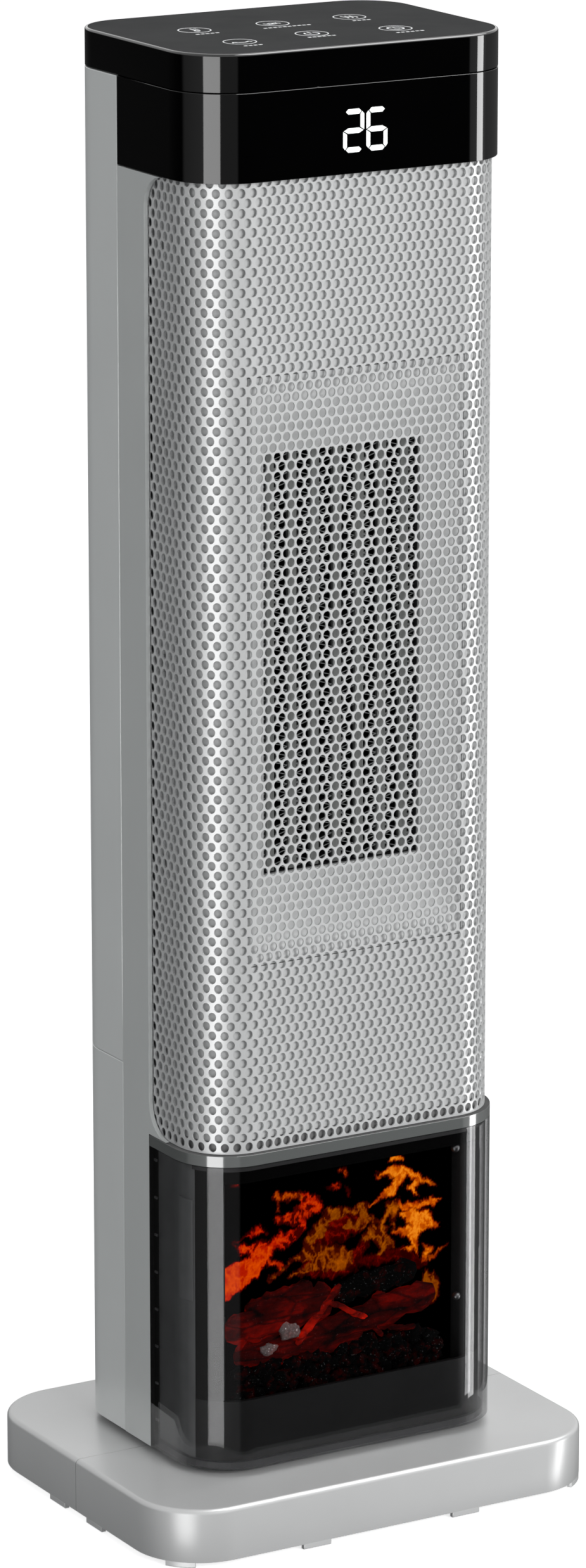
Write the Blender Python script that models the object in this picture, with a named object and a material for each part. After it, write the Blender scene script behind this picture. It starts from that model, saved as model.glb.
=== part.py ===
"""Ceramic tower heater with an oscillating stand and a flame-effect window.

Metres, +Z up. The origin is the centre of the base's footprint on the floor,
the front of the heater faces -Y, and +X is the heater's right when it is seen
from the front.
"""
import math

import bmesh
import bpy
from mathutils import Matrix, Vector

MM = 0.001
GAP = 0.3 * MM                      # air left between pieces that touch

# ---------------------------------------------------------------- dimensions
TOWER_HALF_X = 79.5 * MM
TOWER_HALF_Y = 59.0 * MM
FRONT_RADIUS = 27.0 * MM
REAR_RADIUS = 24.0 * MM
SHELL = 2.0 * MM                    # wall of the casings
SEAM_Y = 13.0 * MM                  # front casing meets rear casing
GRILLE_EDGE_Y = -10.3 * MM          # side edge of the grille and of the window
CORNER_SEGMENTS = 7

TOWER_BOTTOM = 30.0 * MM
TRIM_BOTTOM = 171.0 * MM
TRIM_TOP = 176.4 * MM
REAR_SPLIT_Z = 203.5 * MM           # upper and lower rear casing meet
BAND_BOTTOM = 605.0 * MM
CAP_BOTTOM = 643.5 * MM
TOTAL_HEIGHT = 660.0 * MM
ABOVE_ALL = 0.7                     # cutters that run out over the top end here
PAST_BASE = 0.2                     # cutters that run out past the base end here
ABOVE_DRIVE = 0.1                   # and those that run out over the swivel drive
PAST_BACK = 0.1                     # and those that run out behind the tower

SKIN_INSET = 4.5 * MM               # inner skin of the front casing
GRILLE_INSET = 2.4 * MM
GRILLE_SHEET = 0.8 * MM
GRILLE_CORNER = 15.0 * MM           # rounded corners of the grille's side edges

BASE_HALF_X = 112.75 * MM
BASE_HALF_Y = 88.0 * MM
BASE_RADIUS = 32.0 * MM
BASE_TOP = 27.0 * MM
BASE_WALL_BOTTOM = 2.5 * MM
BASE_PLATE = 3.0 * MM
BASE_WALL = 2.5 * MM
BASE_SEAM_Y = -1.0 * MM
BASE_HOLE_RADIUS = 36.0 * MM
TAB_WIDTH = 14.0 * MM
TAB_FRONT_X = 38.5 * MM
TAB_SIDE_Y = 17.0 * MM
FOOT_X = 84.0 * MM
FOOT_Y = 60.0 * MM

PIVOT_BOSS_RADIUS = 30.0 * MM
PIVOT_BORE_RADIUS = 20.0 * MM
PIVOT_TOP = 36.0 * MM
PLATE_SCREW_XY = 31.0 * MM
GEAR_MODULE = 1.5 * MM
FIXED_GEAR_TEETH = 44
PINION_TEETH = 16
GEAR_THICKNESS = 5.0 * MM
GEAR_CLEARANCE = 0.15 * MM          # added to the gears' centre distance
PINION_ANGLE = math.radians(50)

OUTLET_CENTRE_Z = 390.5 * MM
OUTLET_HALF = (39.5 * MM, 93.5 * MM)
MOUTH_HALF = (54.0 * MM, 130.0 * MM)
FAN_Y = 14.0 * MM
FAN_RADIUS = 27.0 * MM
FAN_BLADES = 20
FAN_BOTTOM = 243.0 * MM
FAN_TOP = 539.0 * MM
HEATER_BARS = 7

FLAME_HALF_X = 59.0 * MM
FLAME_BOTTOM = 56.0 * MM
FLAME_TOP = 161.5 * MM
SCREEN_Y = -41.0 * MM
SPINDLE_Y = -22.0 * MM
SPINDLE_Z = 84.0 * MM

FILTER_HALF_X = 46.0 * MM
FILTER_BOTTOM = 250.0 * MM
FILTER_TOP = 540.0 * MM
GLAND = (-40.0 * MM, 52.0 * MM)     # x and z of the cord gland on the rear
SWITCH = (38.0 * MM, 90.0 * MM)     # x and z of the power switch on the rear
ROCKER_TILT = math.radians(8)
TIP_SWITCH = (-46.0 * MM, 32.0 * MM)

MATERIALS = {
    "casing_silver": ((0.40, 0.42, 0.41), 0.38, 0.0),
    "base_silver": ((0.52, 0.53, 0.53), 0.34, 0.0),
    "grille_paint": ((0.62, 0.63, 0.63), 0.40, 0.2),
    "gloss_black": ((0.010, 0.010, 0.011), 0.08, 0.0),
    "panel_grey": ((0.070, 0.070, 0.072), 0.25, 0.0),
    "smoked_clear": ((0.030, 0.030, 0.032), 0.06, 0.0),
    "trim_grey": ((0.14, 0.145, 0.145), 0.30, 0.0),
    "duct_grey": ((0.50, 0.51, 0.51), 0.50, 0.0),
    "black_plastic": ((0.018, 0.018, 0.020), 0.55, 0.0),
    "heater_metal": ((0.34, 0.35, 0.35), 0.35, 0.9),
    "steel": ((0.56, 0.56, 0.58), 0.30, 1.0),
    "zinc_plate": ((0.48, 0.48, 0.50), 0.42, 1.0),
    "white_nylon": ((0.72, 0.72, 0.68), 0.45, 0.0),
    "board_green": ((0.02, 0.16, 0.07), 0.50, 0.0),
    "rubber_foot": ((0.03, 0.03, 0.03), 0.85, 0.0),
    "flame_film": ((0.45, 0.12, 0.03), 0.45, 0.0),
    "fuel_resin": ((0.16, 0.05, 0.03), 0.70, 0.0),
}


# ------------------------------------------------------------------- helpers
def clear_scene():
    for item in list(bpy.data.objects):
        bpy.data.objects.remove(item)


def make_materials():
    made = {}
    for name, (colour, roughness, metallic) in MATERIALS.items():
        material = bpy.data.materials.new(name)
        material.use_nodes = True
        shader = material.node_tree.nodes["Principled BSDF"]
        shader.inputs["Base Color"].default_value = (*colour, 1.0)
        shader.inputs["Roughness"].default_value = roughness
        shader.inputs["Metallic"].default_value = metallic
        made[name] = material
    return made


def loft(name, loops, material=None, ring=False):
    """Join loops of equal point counts; cap the ends, or close into a ring."""
    bm = bmesh.new()
    rows = [[bm.verts.new(point) for point in loop] for loop in loops]
    count = len(loops[0])
    pairs = list(zip(rows, rows[1:]))
    if ring:
        pairs.append((rows[-1], rows[0]))
    for lower, upper in pairs:
        for i in range(count):
            j = (i + 1) % count
            bm.faces.new((lower[i], lower[j], upper[j], upper[i]))
    if not ring:
        bm.faces.new(rows[0])
        bm.faces.new(rows[-1])
    bmesh.ops.recalc_face_normals(bm, faces=bm.faces)
    mesh = bpy.data.meshes.new(name)
    bm.to_mesh(mesh)
    bm.free()
    mesh.shade_smooth()
    mesh.set_sharp_from_angle(angle=math.radians(32))
    piece = bpy.data.objects.new(name, mesh)
    bpy.context.scene.collection.objects.link(piece)
    if material:
        mesh.materials.append(PALETTE[material])
    return piece


def on_axis(axis, centre, a, b, along):
    """A point at (a, b) across an axis through centre, and at along on it."""
    if axis == "X":
        return (along, centre[0] + a, centre[1] + b)
    if axis == "Y":
        return (centre[0] + a, along, centre[1] + b)
    return (centre[0] + a, centre[1] + b, along)


def circle(radius, sides, phase=0.0):
    step = 2 * math.pi / sides
    return [(radius * math.cos(phase + i * step), radius * math.sin(phase + i * step))
            for i in range(sides)]


def prism(name, outline, low, high, material=None, axis="Z", centre=(0, 0)):
    loops = [[on_axis(axis, centre, a, b, along) for a, b in outline] for along in (low, high)]
    return loft(name, loops, material)


def box(name, low, high, material=None):
    outline = [(low[0], low[1]), (high[0], low[1]), (high[0], high[1]), (low[0], high[1])]
    return prism(name, outline, low[2], high[2], material)


def turned(name, steps, material=None, axis="Z", centre=(0, 0), sides=24):
    """A solid turned part: steps are (radius, position along the axis)."""
    loops = [[on_axis(axis, centre, a, b, along) for a, b in circle(radius, sides)]
             for radius, along in steps]
    return loft(name, loops, material)


def turned_ring(name, section, material=None, axis="Z", centre=(0, 0), sides=32):
    """A ring: section is its closed outline of (radius, position) points."""
    loops = []
    for i in range(sides):
        turn = 2 * math.pi * i / sides
        loops.append([on_axis(axis, centre, r * math.cos(turn), r * math.sin(turn), along)
                      for r, along in section])
    return loft(name, loops, material, ring=True)


def tool(piece):
    """Mark a piece as a cutter or a shape to be merged, not a part."""
    piece.hide_render = True
    piece.display_type = "WIRE"
    return piece


def combine(target, piece, operation):
    modifier = target.modifiers.new(piece.name, "BOOLEAN")
    modifier.operation = operation
    modifier.object = tool(piece)
    modifier.solver = "EXACT"


def cut(target, piece):
    combine(target, piece, "DIFFERENCE")


def join(target, piece):
    combine(target, piece, "UNION")


def merge_boxes(name, corners):
    """One tool made of several separate boxes, each (low, high)."""
    bm = bmesh.new()
    for low, high in corners:
        size = [h - l for l, h in zip(low, high)]
        middle = [(l + h) / 2 for l, h in zip(low, high)]
        placed = Matrix.Translation(middle) @ Matrix.Diagonal((*size, 1.0))
        bmesh.ops.create_cube(bm, size=1.0, matrix=placed)
    mesh = bpy.data.meshes.new(name)
    bm.to_mesh(mesh)
    bm.free()
    piece = bpy.data.objects.new(name, mesh)
    bpy.context.scene.collection.objects.link(piece)
    return piece


def put_origin(piece, origin):
    piece.data.transform(Matrix.Translation(-Vector(origin)))
    piece.location = origin


def rounded_rectangle(half_x, half_y, front_radius, rear_radius, segments=CORNER_SEGMENTS):
    """Outline from the front-right corner anticlockwise round to the front left."""
    points = []
    corners = ((1, -1, -90, front_radius), (1, 1, 0, rear_radius),
               (-1, 1, 90, rear_radius), (-1, -1, 180, front_radius))
    for side_x, side_y, start, radius in corners:
        for i in range(segments + 1):
            turn = math.radians(start + 90 * i / segments)
            points.append((side_x * (half_x - radius) + radius * math.cos(turn),
                           side_y * (half_y - radius) + radius * math.sin(turn)))
    return points


def tower_outline(inset):
    return rounded_rectangle(TOWER_HALF_X - inset, TOWER_HALF_Y - inset,
                             FRONT_RADIUS - inset, REAR_RADIUS - inset)


def base_outline(inset):
    radius = BASE_RADIUS - inset
    return rounded_rectangle(BASE_HALF_X - inset, BASE_HALF_Y - inset, radius, radius)


def front_path(inset, end_y):
    """The tower's outline from its left side at end_y round the front to its right."""
    outline = tower_outline(inset)
    corner = CORNER_SEGMENTS + 1
    half_x = TOWER_HALF_X - inset
    return [(-half_x, end_y)] + outline[3 * corner:] + outline[:corner] + [(half_x, end_y)]


def rear_path(inset, start_y):
    outline = tower_outline(inset)
    corner = CORNER_SEGMENTS + 1
    half_x = TOWER_HALF_X - inset
    return [(half_x, start_y)] + outline[corner:3 * corner] + [(-half_x, start_y)]


def wall(name, outer, inner, low, high, material=None):
    """A wall between two paths with equal point counts, from low to high."""
    loops = [[(*a, low), (*a, high), (*b, high), (*b, low)] for a, b in zip(outer, inner)]
    return loft(name, loops, material)


def front_wall(name, inset, depth, end_y, low, high, material=None):
    return wall(name, front_path(inset, end_y), front_path(inset + depth, end_y), low, high,
                material)


def frame_ring(name, sections, material):
    """A rectangular ring about the outlet: sections are (half x, half z, y)."""
    corners = ((-1, -1), (1, -1), (1, 1), (-1, 1))
    loops = [[(sx * hx, y, OUTLET_CENTRE_Z + sz * hz) for hx, hz, y in sections]
             for sx, sz in corners]
    return loft(name, loops, material, ring=True)


def involute(angle):
    return math.tan(angle) - angle


def gear_outline(teeth, phase):
    """Involute teeth at 20 degrees, thinned for backlash; one tooth is at phase."""
    pitch_radius = GEAR_MODULE * teeth / 2
    base_radius = pitch_radius * math.cos(math.radians(20))
    tip = pitch_radius + 0.7 * GEAR_MODULE
    root = pitch_radius - 1.15 * GEAR_MODULE
    thickness = math.pi * GEAR_MODULE / 2 - 0.2 * MM

    def half_angle(radius):
        pressure = math.acos(min(1.0, base_radius / radius))
        return thickness / (2 * pitch_radius) + involute(math.radians(20)) - involute(pressure)

    radii = [root, max(root + 0.2 * MM, base_radius), pitch_radius, tip]
    flank = [(radius, half_angle(max(radius, base_radius))) for radius in radii]
    points = []
    for i in range(teeth):
        centre = phase + 2 * math.pi * i / teeth
        for radius, half in flank:
            points.append((radius * math.cos(centre - half), radius * math.sin(centre - half)))
        for radius, half in reversed(flank):
            points.append((radius * math.cos(centre + half), radius * math.sin(centre + half)))
    return points


# ---------------------------------------------------------------------- base
def tab_boxes(rear):
    """The short tabs below the wall of one half, as (centre, turn) pairs."""
    side = 1 if rear else -1
    inset = 0.05 * MM + BASE_WALL / 2
    corner = (BASE_RADIUS - 0.8 * MM - BASE_WALL / 2) * math.cos(math.radians(45))
    places = []
    for x_side in (-1, 1):
        places.append((x_side * TAB_FRONT_X, side * (BASE_HALF_Y - inset), 0))
        places.append((x_side * (BASE_HALF_X - inset), side * TAB_SIDE_Y, 90))
        places.append((x_side * (BASE_HALF_X - BASE_RADIUS + corner),
                       side * (BASE_HALF_Y - BASE_RADIUS + corner), -45 * x_side * side))
    return places


def base_half(name, rear):
    edge = [(0.0, BASE_WALL_BOTTOM), (0.0, BASE_TOP - 2.4 * MM),
            (0.7 * MM, BASE_TOP - 0.8 * MM), (2.4 * MM, BASE_TOP)]
    body = loft(name, [[(*p, z) for p in base_outline(inset)] for inset, z in edge],
                "base_silver")
    near, far = (BASE_SEAM_Y + GAP / 2, -PAST_BASE) if rear else (BASE_SEAM_Y - GAP / 2, PAST_BASE)
    low_y, high_y = min(near, far), max(near, far)
    cut(body, box("cut_" + name, (-PAST_BASE, low_y, -PAST_BASE), (PAST_BASE, high_y, PAST_BASE)))
    hollow_top = BASE_TOP - BASE_PLATE
    cut(body, prism("hollow_" + name, base_outline(BASE_WALL), 0, hollow_top))
    side = 1 if rear else -1
    for i, (x, y, turn) in enumerate(tab_boxes(rear)):
        half = (TAB_WIDTH / 2, BASE_WALL / 2)
        tab = box(f"tab_{name}_{i}", (-half[0], -half[1], 0),
                  (half[0], half[1], BASE_WALL_BOTTOM + 1.0 * MM))
        tab.data.transform(Matrix.Translation((x, y, 0)) @ Matrix.Rotation(math.radians(turn), 4, "Z"))
        join(body, tab)
    for x_side in (-1, 1):
        centre = (x_side * FOOT_X, side * FOOT_Y)
        boss = [(9.0 * MM, 3.3 * MM), (9.0 * MM, hollow_top + 0.5 * MM)]
        join(body, turned(f"boss_{name}_{x_side}", boss, centre=centre, sides=16))
    cut(body, turned("centre_" + name, [(BASE_HOLE_RADIUS, 0), (BASE_HOLE_RADIUS, PAST_BASE)], sides=40))
    for x_side in (-1, 1):
        hole = [(2.1 * MM, 20 * MM), (2.1 * MM, BASE_TOP - 0.7 * MM)]
        centre = (x_side * PLATE_SCREW_XY, side * PLATE_SCREW_XY)
        cut(body, turned(f"hole_{name}_{x_side}", hole, centre=centre, sides=10))
    return body


def build_base():
    base_half("base_front_half", rear=False)
    base_half("base_rear_half", rear=True)
    plate_top = BASE_TOP - BASE_PLATE - GAP
    plate_bottom = plate_top - 3.0 * MM
    places = [(x, y) for x in (-1, 1) for y in (-1, 1)]
    for i, (x, y) in enumerate(places, 1):
        turned(f"foot_{i}", [(7.0 * MM, 0), (8.0 * MM, 1.0 * MM), (8.0 * MM, 3.0 * MM)],
               "rubber_foot", centre=(x * FOOT_X, y * FOOT_Y), sides=16)
    pivot = turned_ring("pivot_plate", [(PIVOT_BORE_RADIUS, plate_bottom), (50 * MM, plate_bottom),
                                        (50 * MM, plate_top), (PIVOT_BOSS_RADIUS, plate_top),
                                        (PIVOT_BOSS_RADIUS, PIVOT_TOP),
                                        (PIVOT_BORE_RADIUS, PIVOT_TOP)], "zinc_plate", sides=40)
    for i, (x, y) in enumerate(places, 1):
        centre = (x * PLATE_SCREW_XY, y * PLATE_SCREW_XY)
        cut(pivot, turned(f"plate_hole_{i}", [(2.1 * MM, 0), (2.1 * MM, ABOVE_DRIVE)], centre=centre,
                          sides=10))
        head = plate_bottom - GAP
        turned(f"base_screw_{i}", [(3.8 * MM, head - 2.0 * MM), (3.8 * MM, head),
                                   (1.7 * MM, head), (1.7 * MM, BASE_TOP - 1.0 * MM)],
               "steel", centre=centre, sides=10)
    turned_ring("slide_ring", [(40 * MM, BASE_TOP + GAP), (48 * MM, BASE_TOP + GAP),
                               (48 * MM, TOWER_BOTTOM), (40 * MM, TOWER_BOTTOM)],
                "white_nylon", sides=40)
    gear_low = PIVOT_TOP + GAP
    gear_high = gear_low + GEAR_THICKNESS
    gear = prism("fixed_gear", gear_outline(FIXED_GEAR_TEETH, PINION_ANGLE), gear_low, gear_high,
                 "white_nylon")
    cut(gear, turned("gear_bore", [(PIVOT_BORE_RADIUS + GAP, 0),
                                   (PIVOT_BORE_RADIUS + GAP, ABOVE_DRIVE)],
                     sides=32))
    for i in range(3):
        turn = math.radians(30 + 120 * i)
        centre = (25 * MM * math.cos(turn), 25 * MM * math.sin(turn))
        hole = [(1.8 * MM, PIVOT_TOP - 7 * MM), (1.8 * MM, ABOVE_DRIVE)]
        cut(gear, turned(f"gear_hole_{i + 1}", hole, centre=centre, sides=10))
        cut(pivot, turned(f"boss_hole_{i + 1}", hole, centre=centre, sides=10))
        turned(f"gear_screw_{i + 1}", [(1.4 * MM, PIVOT_TOP - 6 * MM), (1.4 * MM, gear_high + GAP),
                                       (3.0 * MM, gear_high + GAP),
                                       (3.0 * MM, gear_high + 2.0 * MM)],
               "steel", centre=centre, sides=10)


# --------------------------------------------------------- oscillation drive
def pinion_centre():
    reach = GEAR_MODULE * (FIXED_GEAR_TEETH + PINION_TEETH) / 2 + GEAR_CLEARANCE
    return (reach * math.cos(PINION_ANGLE), reach * math.sin(PINION_ANGLE))


def build_oscillation():
    centre = pinion_centre()
    low = PIVOT_TOP + GAP
    high = low + GEAR_THICKNESS
    motor_low = high + 2.5 * MM
    ears = []
    for side in (-1, 1):
        ears.append((centre[0] - side * 26 * MM * math.sin(PINION_ANGLE),
                     centre[1] + side * 26 * MM * math.cos(PINION_ANGLE)))
    floor_low = TOWER_BOTTOM + GAP
    floor = prism("tower_floor", tower_outline(SHELL + 0.4 * MM), floor_low,
                  floor_low + 3.0 * MM, "black_plastic")
    cut(floor, turned("floor_hole", [(30.8 * MM, 0), (30.8 * MM, ABOVE_DRIVE)], sides=40))
    for i, ear in enumerate(ears):
        post = [(3.5 * MM, floor_low + 2.0 * MM), (3.5 * MM, motor_low - GAP)]
        join(floor, turned(f"motor_post_{i}", post, centre=ear, sides=12))
    motor = turned("osc_motor", [(20 * MM, motor_low), (20 * MM, motor_low + 15 * MM)],
                   "zinc_plate", centre=centre, sides=28)
    strap = box("motor_strap", (-29.5 * MM, -4 * MM, motor_low), (29.5 * MM, 4 * MM, motor_low + 1.5 * MM))
    strap.data.transform(Matrix.Translation((*centre, 0))
                         @ Matrix.Rotation(PINION_ANGLE + math.pi / 2, 4, "Z"))
    join(motor, strap)
    cut(motor, turned("motor_bore", [(3.4 * MM, 0), (3.4 * MM, motor_low + 6 * MM)], centre=centre,
                      sides=14))
    phase = PINION_ANGLE + math.pi + math.pi / PINION_TEETH
    pinion = prism("osc_pinion", gear_outline(PINION_TEETH, phase), low, high, "white_nylon",
                   centre=centre)
    shaft = [(3.0 * MM, low + 1 * MM), (3.0 * MM, motor_low + 5 * MM)]
    join(pinion, turned("pinion_shaft", shaft, centre=centre, sides=14))
    put_origin(pinion, (*centre, low))


# ------------------------------------------------------------------- casings
def corner_fillers(name, grow):
    """The filled corners that round off the grille's side edges."""
    radius = GRILLE_CORNER - grow
    edge_y = GRILLE_EDGE_Y - grow
    pieces = []
    for z_side, level in ((1, BAND_BOTTOM - GAP), (-1, TRIM_TOP + 0.1 * MM)):
        centre_z = level - z_side * (radius + grow)
        outline = [(edge_y + 0.8 * MM + grow, level + z_side * grow),
                   (edge_y - radius, level + z_side * grow)]
        for i in range(7):
            turn = math.radians(90 - 15 * i)
            outline.append((edge_y - radius + radius * math.cos(turn),
                            centre_z + z_side * radius * math.sin(turn)))
        outline.append((edge_y + 0.8 * MM + grow, centre_z))
        for x_side in (-1, 1):
            inner = x_side * (TOWER_HALF_X - SKIN_INSET - 0.2 * MM + grow)
            outer = x_side * (TOWER_HALF_X + (0.001 if grow else 0))
            loops = [[(x, y, z) for y, z in outline] for x in (inner, outer)]
            pieces.append(loft(f"{name}_{x_side}_{z_side}", loops))
    return pieces


def build_front_casing():
    edge = GRILLE_EDGE_Y
    outer = front_path(SKIN_INSET, edge)
    inner = front_path(SKIN_INSET + SHELL, edge + SHELL)
    half = TOWER_HALF_X
    front = SEAM_Y - GAP / 2
    outer = [(-half, front), (-half, edge)] + outer + [(half, edge), (half, front)]
    inner = [(-half + SHELL, front), (-half + SHELL, edge + SHELL)] + inner \
        + [(half - SHELL, edge + SHELL), (half - SHELL, front)]
    casing = wall("front_casing", outer, inner, TOWER_BOTTOM, CAP_BOTTOM - GAP, "casing_silver")
    for piece in corner_fillers("filler", 0):
        join(casing, piece)
    cut(casing, front_wall("band_seat", -1 * MM, SKIN_INSET + 0.9 * MM, PAST_BACK,
                           BAND_BOTTOM - GAP, ABOVE_ALL))
    cut(casing, prism("floor_seat", tower_outline(SHELL + 0.1 * MM), 0,
                      TOWER_BOTTOM + 3.6 * MM))
    front_y = -TOWER_HALF_Y - 1 * MM
    back_y = -45 * MM
    mouth = [half_size + 0.4 * MM for half_size in MOUTH_HALF]
    cut(casing, box("mouth_hole", (-mouth[0], front_y, OUTLET_CENTRE_Z - mouth[1]),
                    (mouth[0], back_y, OUTLET_CENTRE_Z + mouth[1])))
    cut(casing, box("flame_hole", (-FLAME_HALF_X - 3 * MM, front_y, FLAME_BOTTOM),
                    (FLAME_HALF_X + 3 * MM, back_y, FLAME_TOP + 0.5 * MM)))
    cut(casing, box("display_hole", (-30 * MM, front_y, 610 * MM), (30 * MM, back_y, 638 * MM)))


def slot_rows(name, columns, column_pitch, width, rows, row_pitch, height, middle_z):
    corners = []
    for column in range(columns):
        x = (column - (columns - 1) / 2) * column_pitch
        for row in range(rows):
            z = middle_z + (row - (rows - 1) / 2) * row_pitch
            corners.append(((x - width / 2, 40 * MM, z - height / 2),
                            (x + width / 2, 80 * MM, z + height / 2)))
    return merge_boxes(name, corners)


def casing_screw(casing, index, x, z):
    place = (x, z)
    head = TOWER_HALF_Y - 4.5 * MM
    join(casing, turned(f"screw_boss_{index}", [(5.5 * MM, head - 9 * MM),
                                                (5.5 * MM, TOWER_HALF_Y - 1 * MM)],
                        axis="Y", centre=place, sides=14))
    cut(casing, turned(f"screw_bore_{index}", [(1.8 * MM, 0), (1.8 * MM, head),
                                               (3.8 * MM, head), (3.8 * MM, PAST_BACK)],
                       axis="Y", centre=place, sides=14))
    turned(f"casing_screw_{index}", [(1.4 * MM, head - 14 * MM), (1.4 * MM, head + GAP),
                                     (3.4 * MM, head + GAP), (3.4 * MM, head + 2.3 * MM)],
           "steel", axis="Y", centre=place, sides=12)


def build_rear_casings():
    start = SEAM_Y + GAP / 2
    outer = rear_path(0, start)
    inner = rear_path(SHELL, start)
    upper = wall("rear_casing_upper", outer, inner, REAR_SPLIT_Z + GAP / 2, CAP_BOTTOM - GAP,
                 "casing_silver")
    lower = wall("rear_casing_lower", outer, inner, TOWER_BOTTOM, REAR_SPLIT_Z - GAP / 2,
                 "casing_silver")
    cut(upper, box("filter_hole", (-FILTER_HALF_X, 40 * MM, FILTER_BOTTOM),
                   (FILTER_HALF_X, 80 * MM, FILTER_TOP)))
    for index, (casing, x, z) in enumerate(((lower, -50 * MM, 180 * MM), (lower, 50 * MM, 180 * MM),
                                            (upper, -50 * MM, 622 * MM),
                                            (upper, 50 * MM, 622 * MM)), 1):
        casing_screw(casing, index, x, z)
    cut(lower, turned("gland_hole", [(6.2 * MM, 40 * MM), (6.2 * MM, 80 * MM)], axis="Y",
                      centre=GLAND, sides=20))
    cut(lower, box("switch_hole", (SWITCH[0] - 11.2 * MM, 40 * MM, SWITCH[1] - 9.0 * MM),
                   (SWITCH[0] + 11.2 * MM, 80 * MM, SWITCH[1] + 9.0 * MM)))
    cover = box("filter_cover", (-FILTER_HALF_X + 0.4 * MM, TOWER_HALF_Y - SHELL, FILTER_BOTTOM + 0.4 * MM),
                (FILTER_HALF_X - 0.4 * MM, TOWER_HALF_Y, FILTER_TOP - 0.4 * MM), "casing_silver")
    middle = (FILTER_BOTTOM + FILTER_TOP) / 2
    cut(cover, slot_rows("intake_slots", 2, 42 * MM, 36 * MM, 23, 12 * MM, 5.5 * MM, middle))
    put_origin(cover, (0, TOWER_HALF_Y, middle))


def build_rear_fittings():
    bore = 4.0 * MM
    body = 5.8 * MM
    flange = 9.5 * MM
    face = TOWER_HALF_Y + GAP
    turned_ring("cord_gland", [(bore, 48 * MM), (body, 48 * MM), (body, face), (flange, face),
                               (flange, face + 2 * MM), (6.5 * MM, face + 5 * MM),
                               (bore, face + 5 * MM)], "black_plastic", axis="Y", centre=GLAND,
                sides=20)
    x, z = SWITCH
    sections = [(9.4 * MM, 7.4 * MM, 48 * MM), (10.9 * MM, 8.7 * MM, 48 * MM),
                (10.9 * MM, 8.7 * MM, face), (13.0 * MM, 10.5 * MM, face),
                (13.0 * MM, 10.5 * MM, face + 1.6 * MM), (9.4 * MM, 7.4 * MM, face + 1.6 * MM)]
    loops = [[(x + sx * hx, y, z + sz * hz) for hx, hz, y in sections]
             for sx, sz in ((-1, -1), (1, -1), (1, 1), (-1, 1))]
    loft("switch_bezel", loops, "black_plastic", ring=True)
    pivot_y = TOWER_HALF_Y - 1.5 * MM
    profile = [(-4 * MM, -4.5 * MM), (-4 * MM, 4.5 * MM), (3.6 * MM, 6.3 * MM),
               (2.2 * MM, 0), (3.6 * MM, -6.3 * MM)]
    cosine, sine = math.cos(ROCKER_TILT), math.sin(ROCKER_TILT)
    turned_profile = [(a * cosine - b * sine, a * sine + b * cosine) for a, b in profile]
    rocker = prism("power_rocker", turned_profile, x - 9.0 * MM, x + 9.0 * MM, "black_plastic",
                   axis="X", centre=(pivot_y, z))
    put_origin(rocker, (x, pivot_y, z))


# ------------------------------------------------------------ cap and display
def build_cap():
    edge = [(0, CAP_BOTTOM), (0, TOTAL_HEIGHT - 1.0 * MM), (1.0 * MM, TOTAL_HEIGHT)]
    cap = loft("top_cap", [[(*p, z) for p in tower_outline(inset)] for inset, z in edge],
               "gloss_black")
    panel_low = TOTAL_HEIGHT - 1.5 * MM
    cut(cap, prism("cap_hollow", tower_outline(SHELL + 0.2 * MM), 0.6, panel_low - 1.6 * MM))
    cut(cap, prism("panel_seat", tower_outline(1.3 * MM), panel_low - GAP, ABOVE_ALL))
    prism("touch_panel", tower_outline(1.6 * MM), panel_low, TOTAL_HEIGHT, "panel_grey")
    board_low = 650.5 * MM
    board = box("control_board", (-62 * MM, -42 * MM, board_low), (62 * MM, 30 * MM, board_low + 1.6 * MM),
                "board_green")
    for row, y in enumerate((-25 * MM, 13.5 * MM)):
        for column in (-1, 0, 1):
            pad = [(5 * MM, board_low + 1 * MM), (5 * MM, panel_low - 2.2 * MM)]
            place = (column * 38.6 * MM - 2.3 * MM, y)
            join(board, turned(f"touch_pad_{row}_{column}", pad, centre=place, sides=10))
    front_wall("display_band", 0, 2.2 * MM, SEAM_Y - GAP / 2, BAND_BOTTOM + GAP / 2,
               CAP_BOTTOM - GAP, "gloss_black")
    back = -TOWER_HALF_Y + SKIN_INSET + SHELL + GAP
    board = box("display_board", (-34 * MM, back, 607 * MM), (34 * MM, back + 1.6 * MM, 641 * MM),
                "board_green")
    join(board, box("digit_block", (-14 * MM, -TOWER_HALF_Y + 2.6 * MM, 612 * MM),
                    (16 * MM, back + 0.5 * MM, 635.5 * MM)))


# ------------------------------------------------------------- grille, window
def build_front_covers():
    grille = front_wall("grille", GRILLE_INSET, GRILLE_SHEET, GRILLE_EDGE_Y - GAP,
                        TRIM_TOP, BAND_BOTTOM - GAP / 2, "grille_paint")
    for piece in corner_fillers("grille_corner", GAP):
        cut(grille, piece)
    side = GRILLE_EDGE_Y - 0.4 * MM
    front_wall("window_cover", 0, SHELL, side, TOWER_BOTTOM + GAP, TRIM_BOTTOM - GAP / 2,
               "smoked_clear")
    front_wall("window_trim", 0, 4.2 * MM, side, TRIM_BOTTOM + GAP / 2, TRIM_TOP - GAP,
               "trim_grey")


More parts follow.
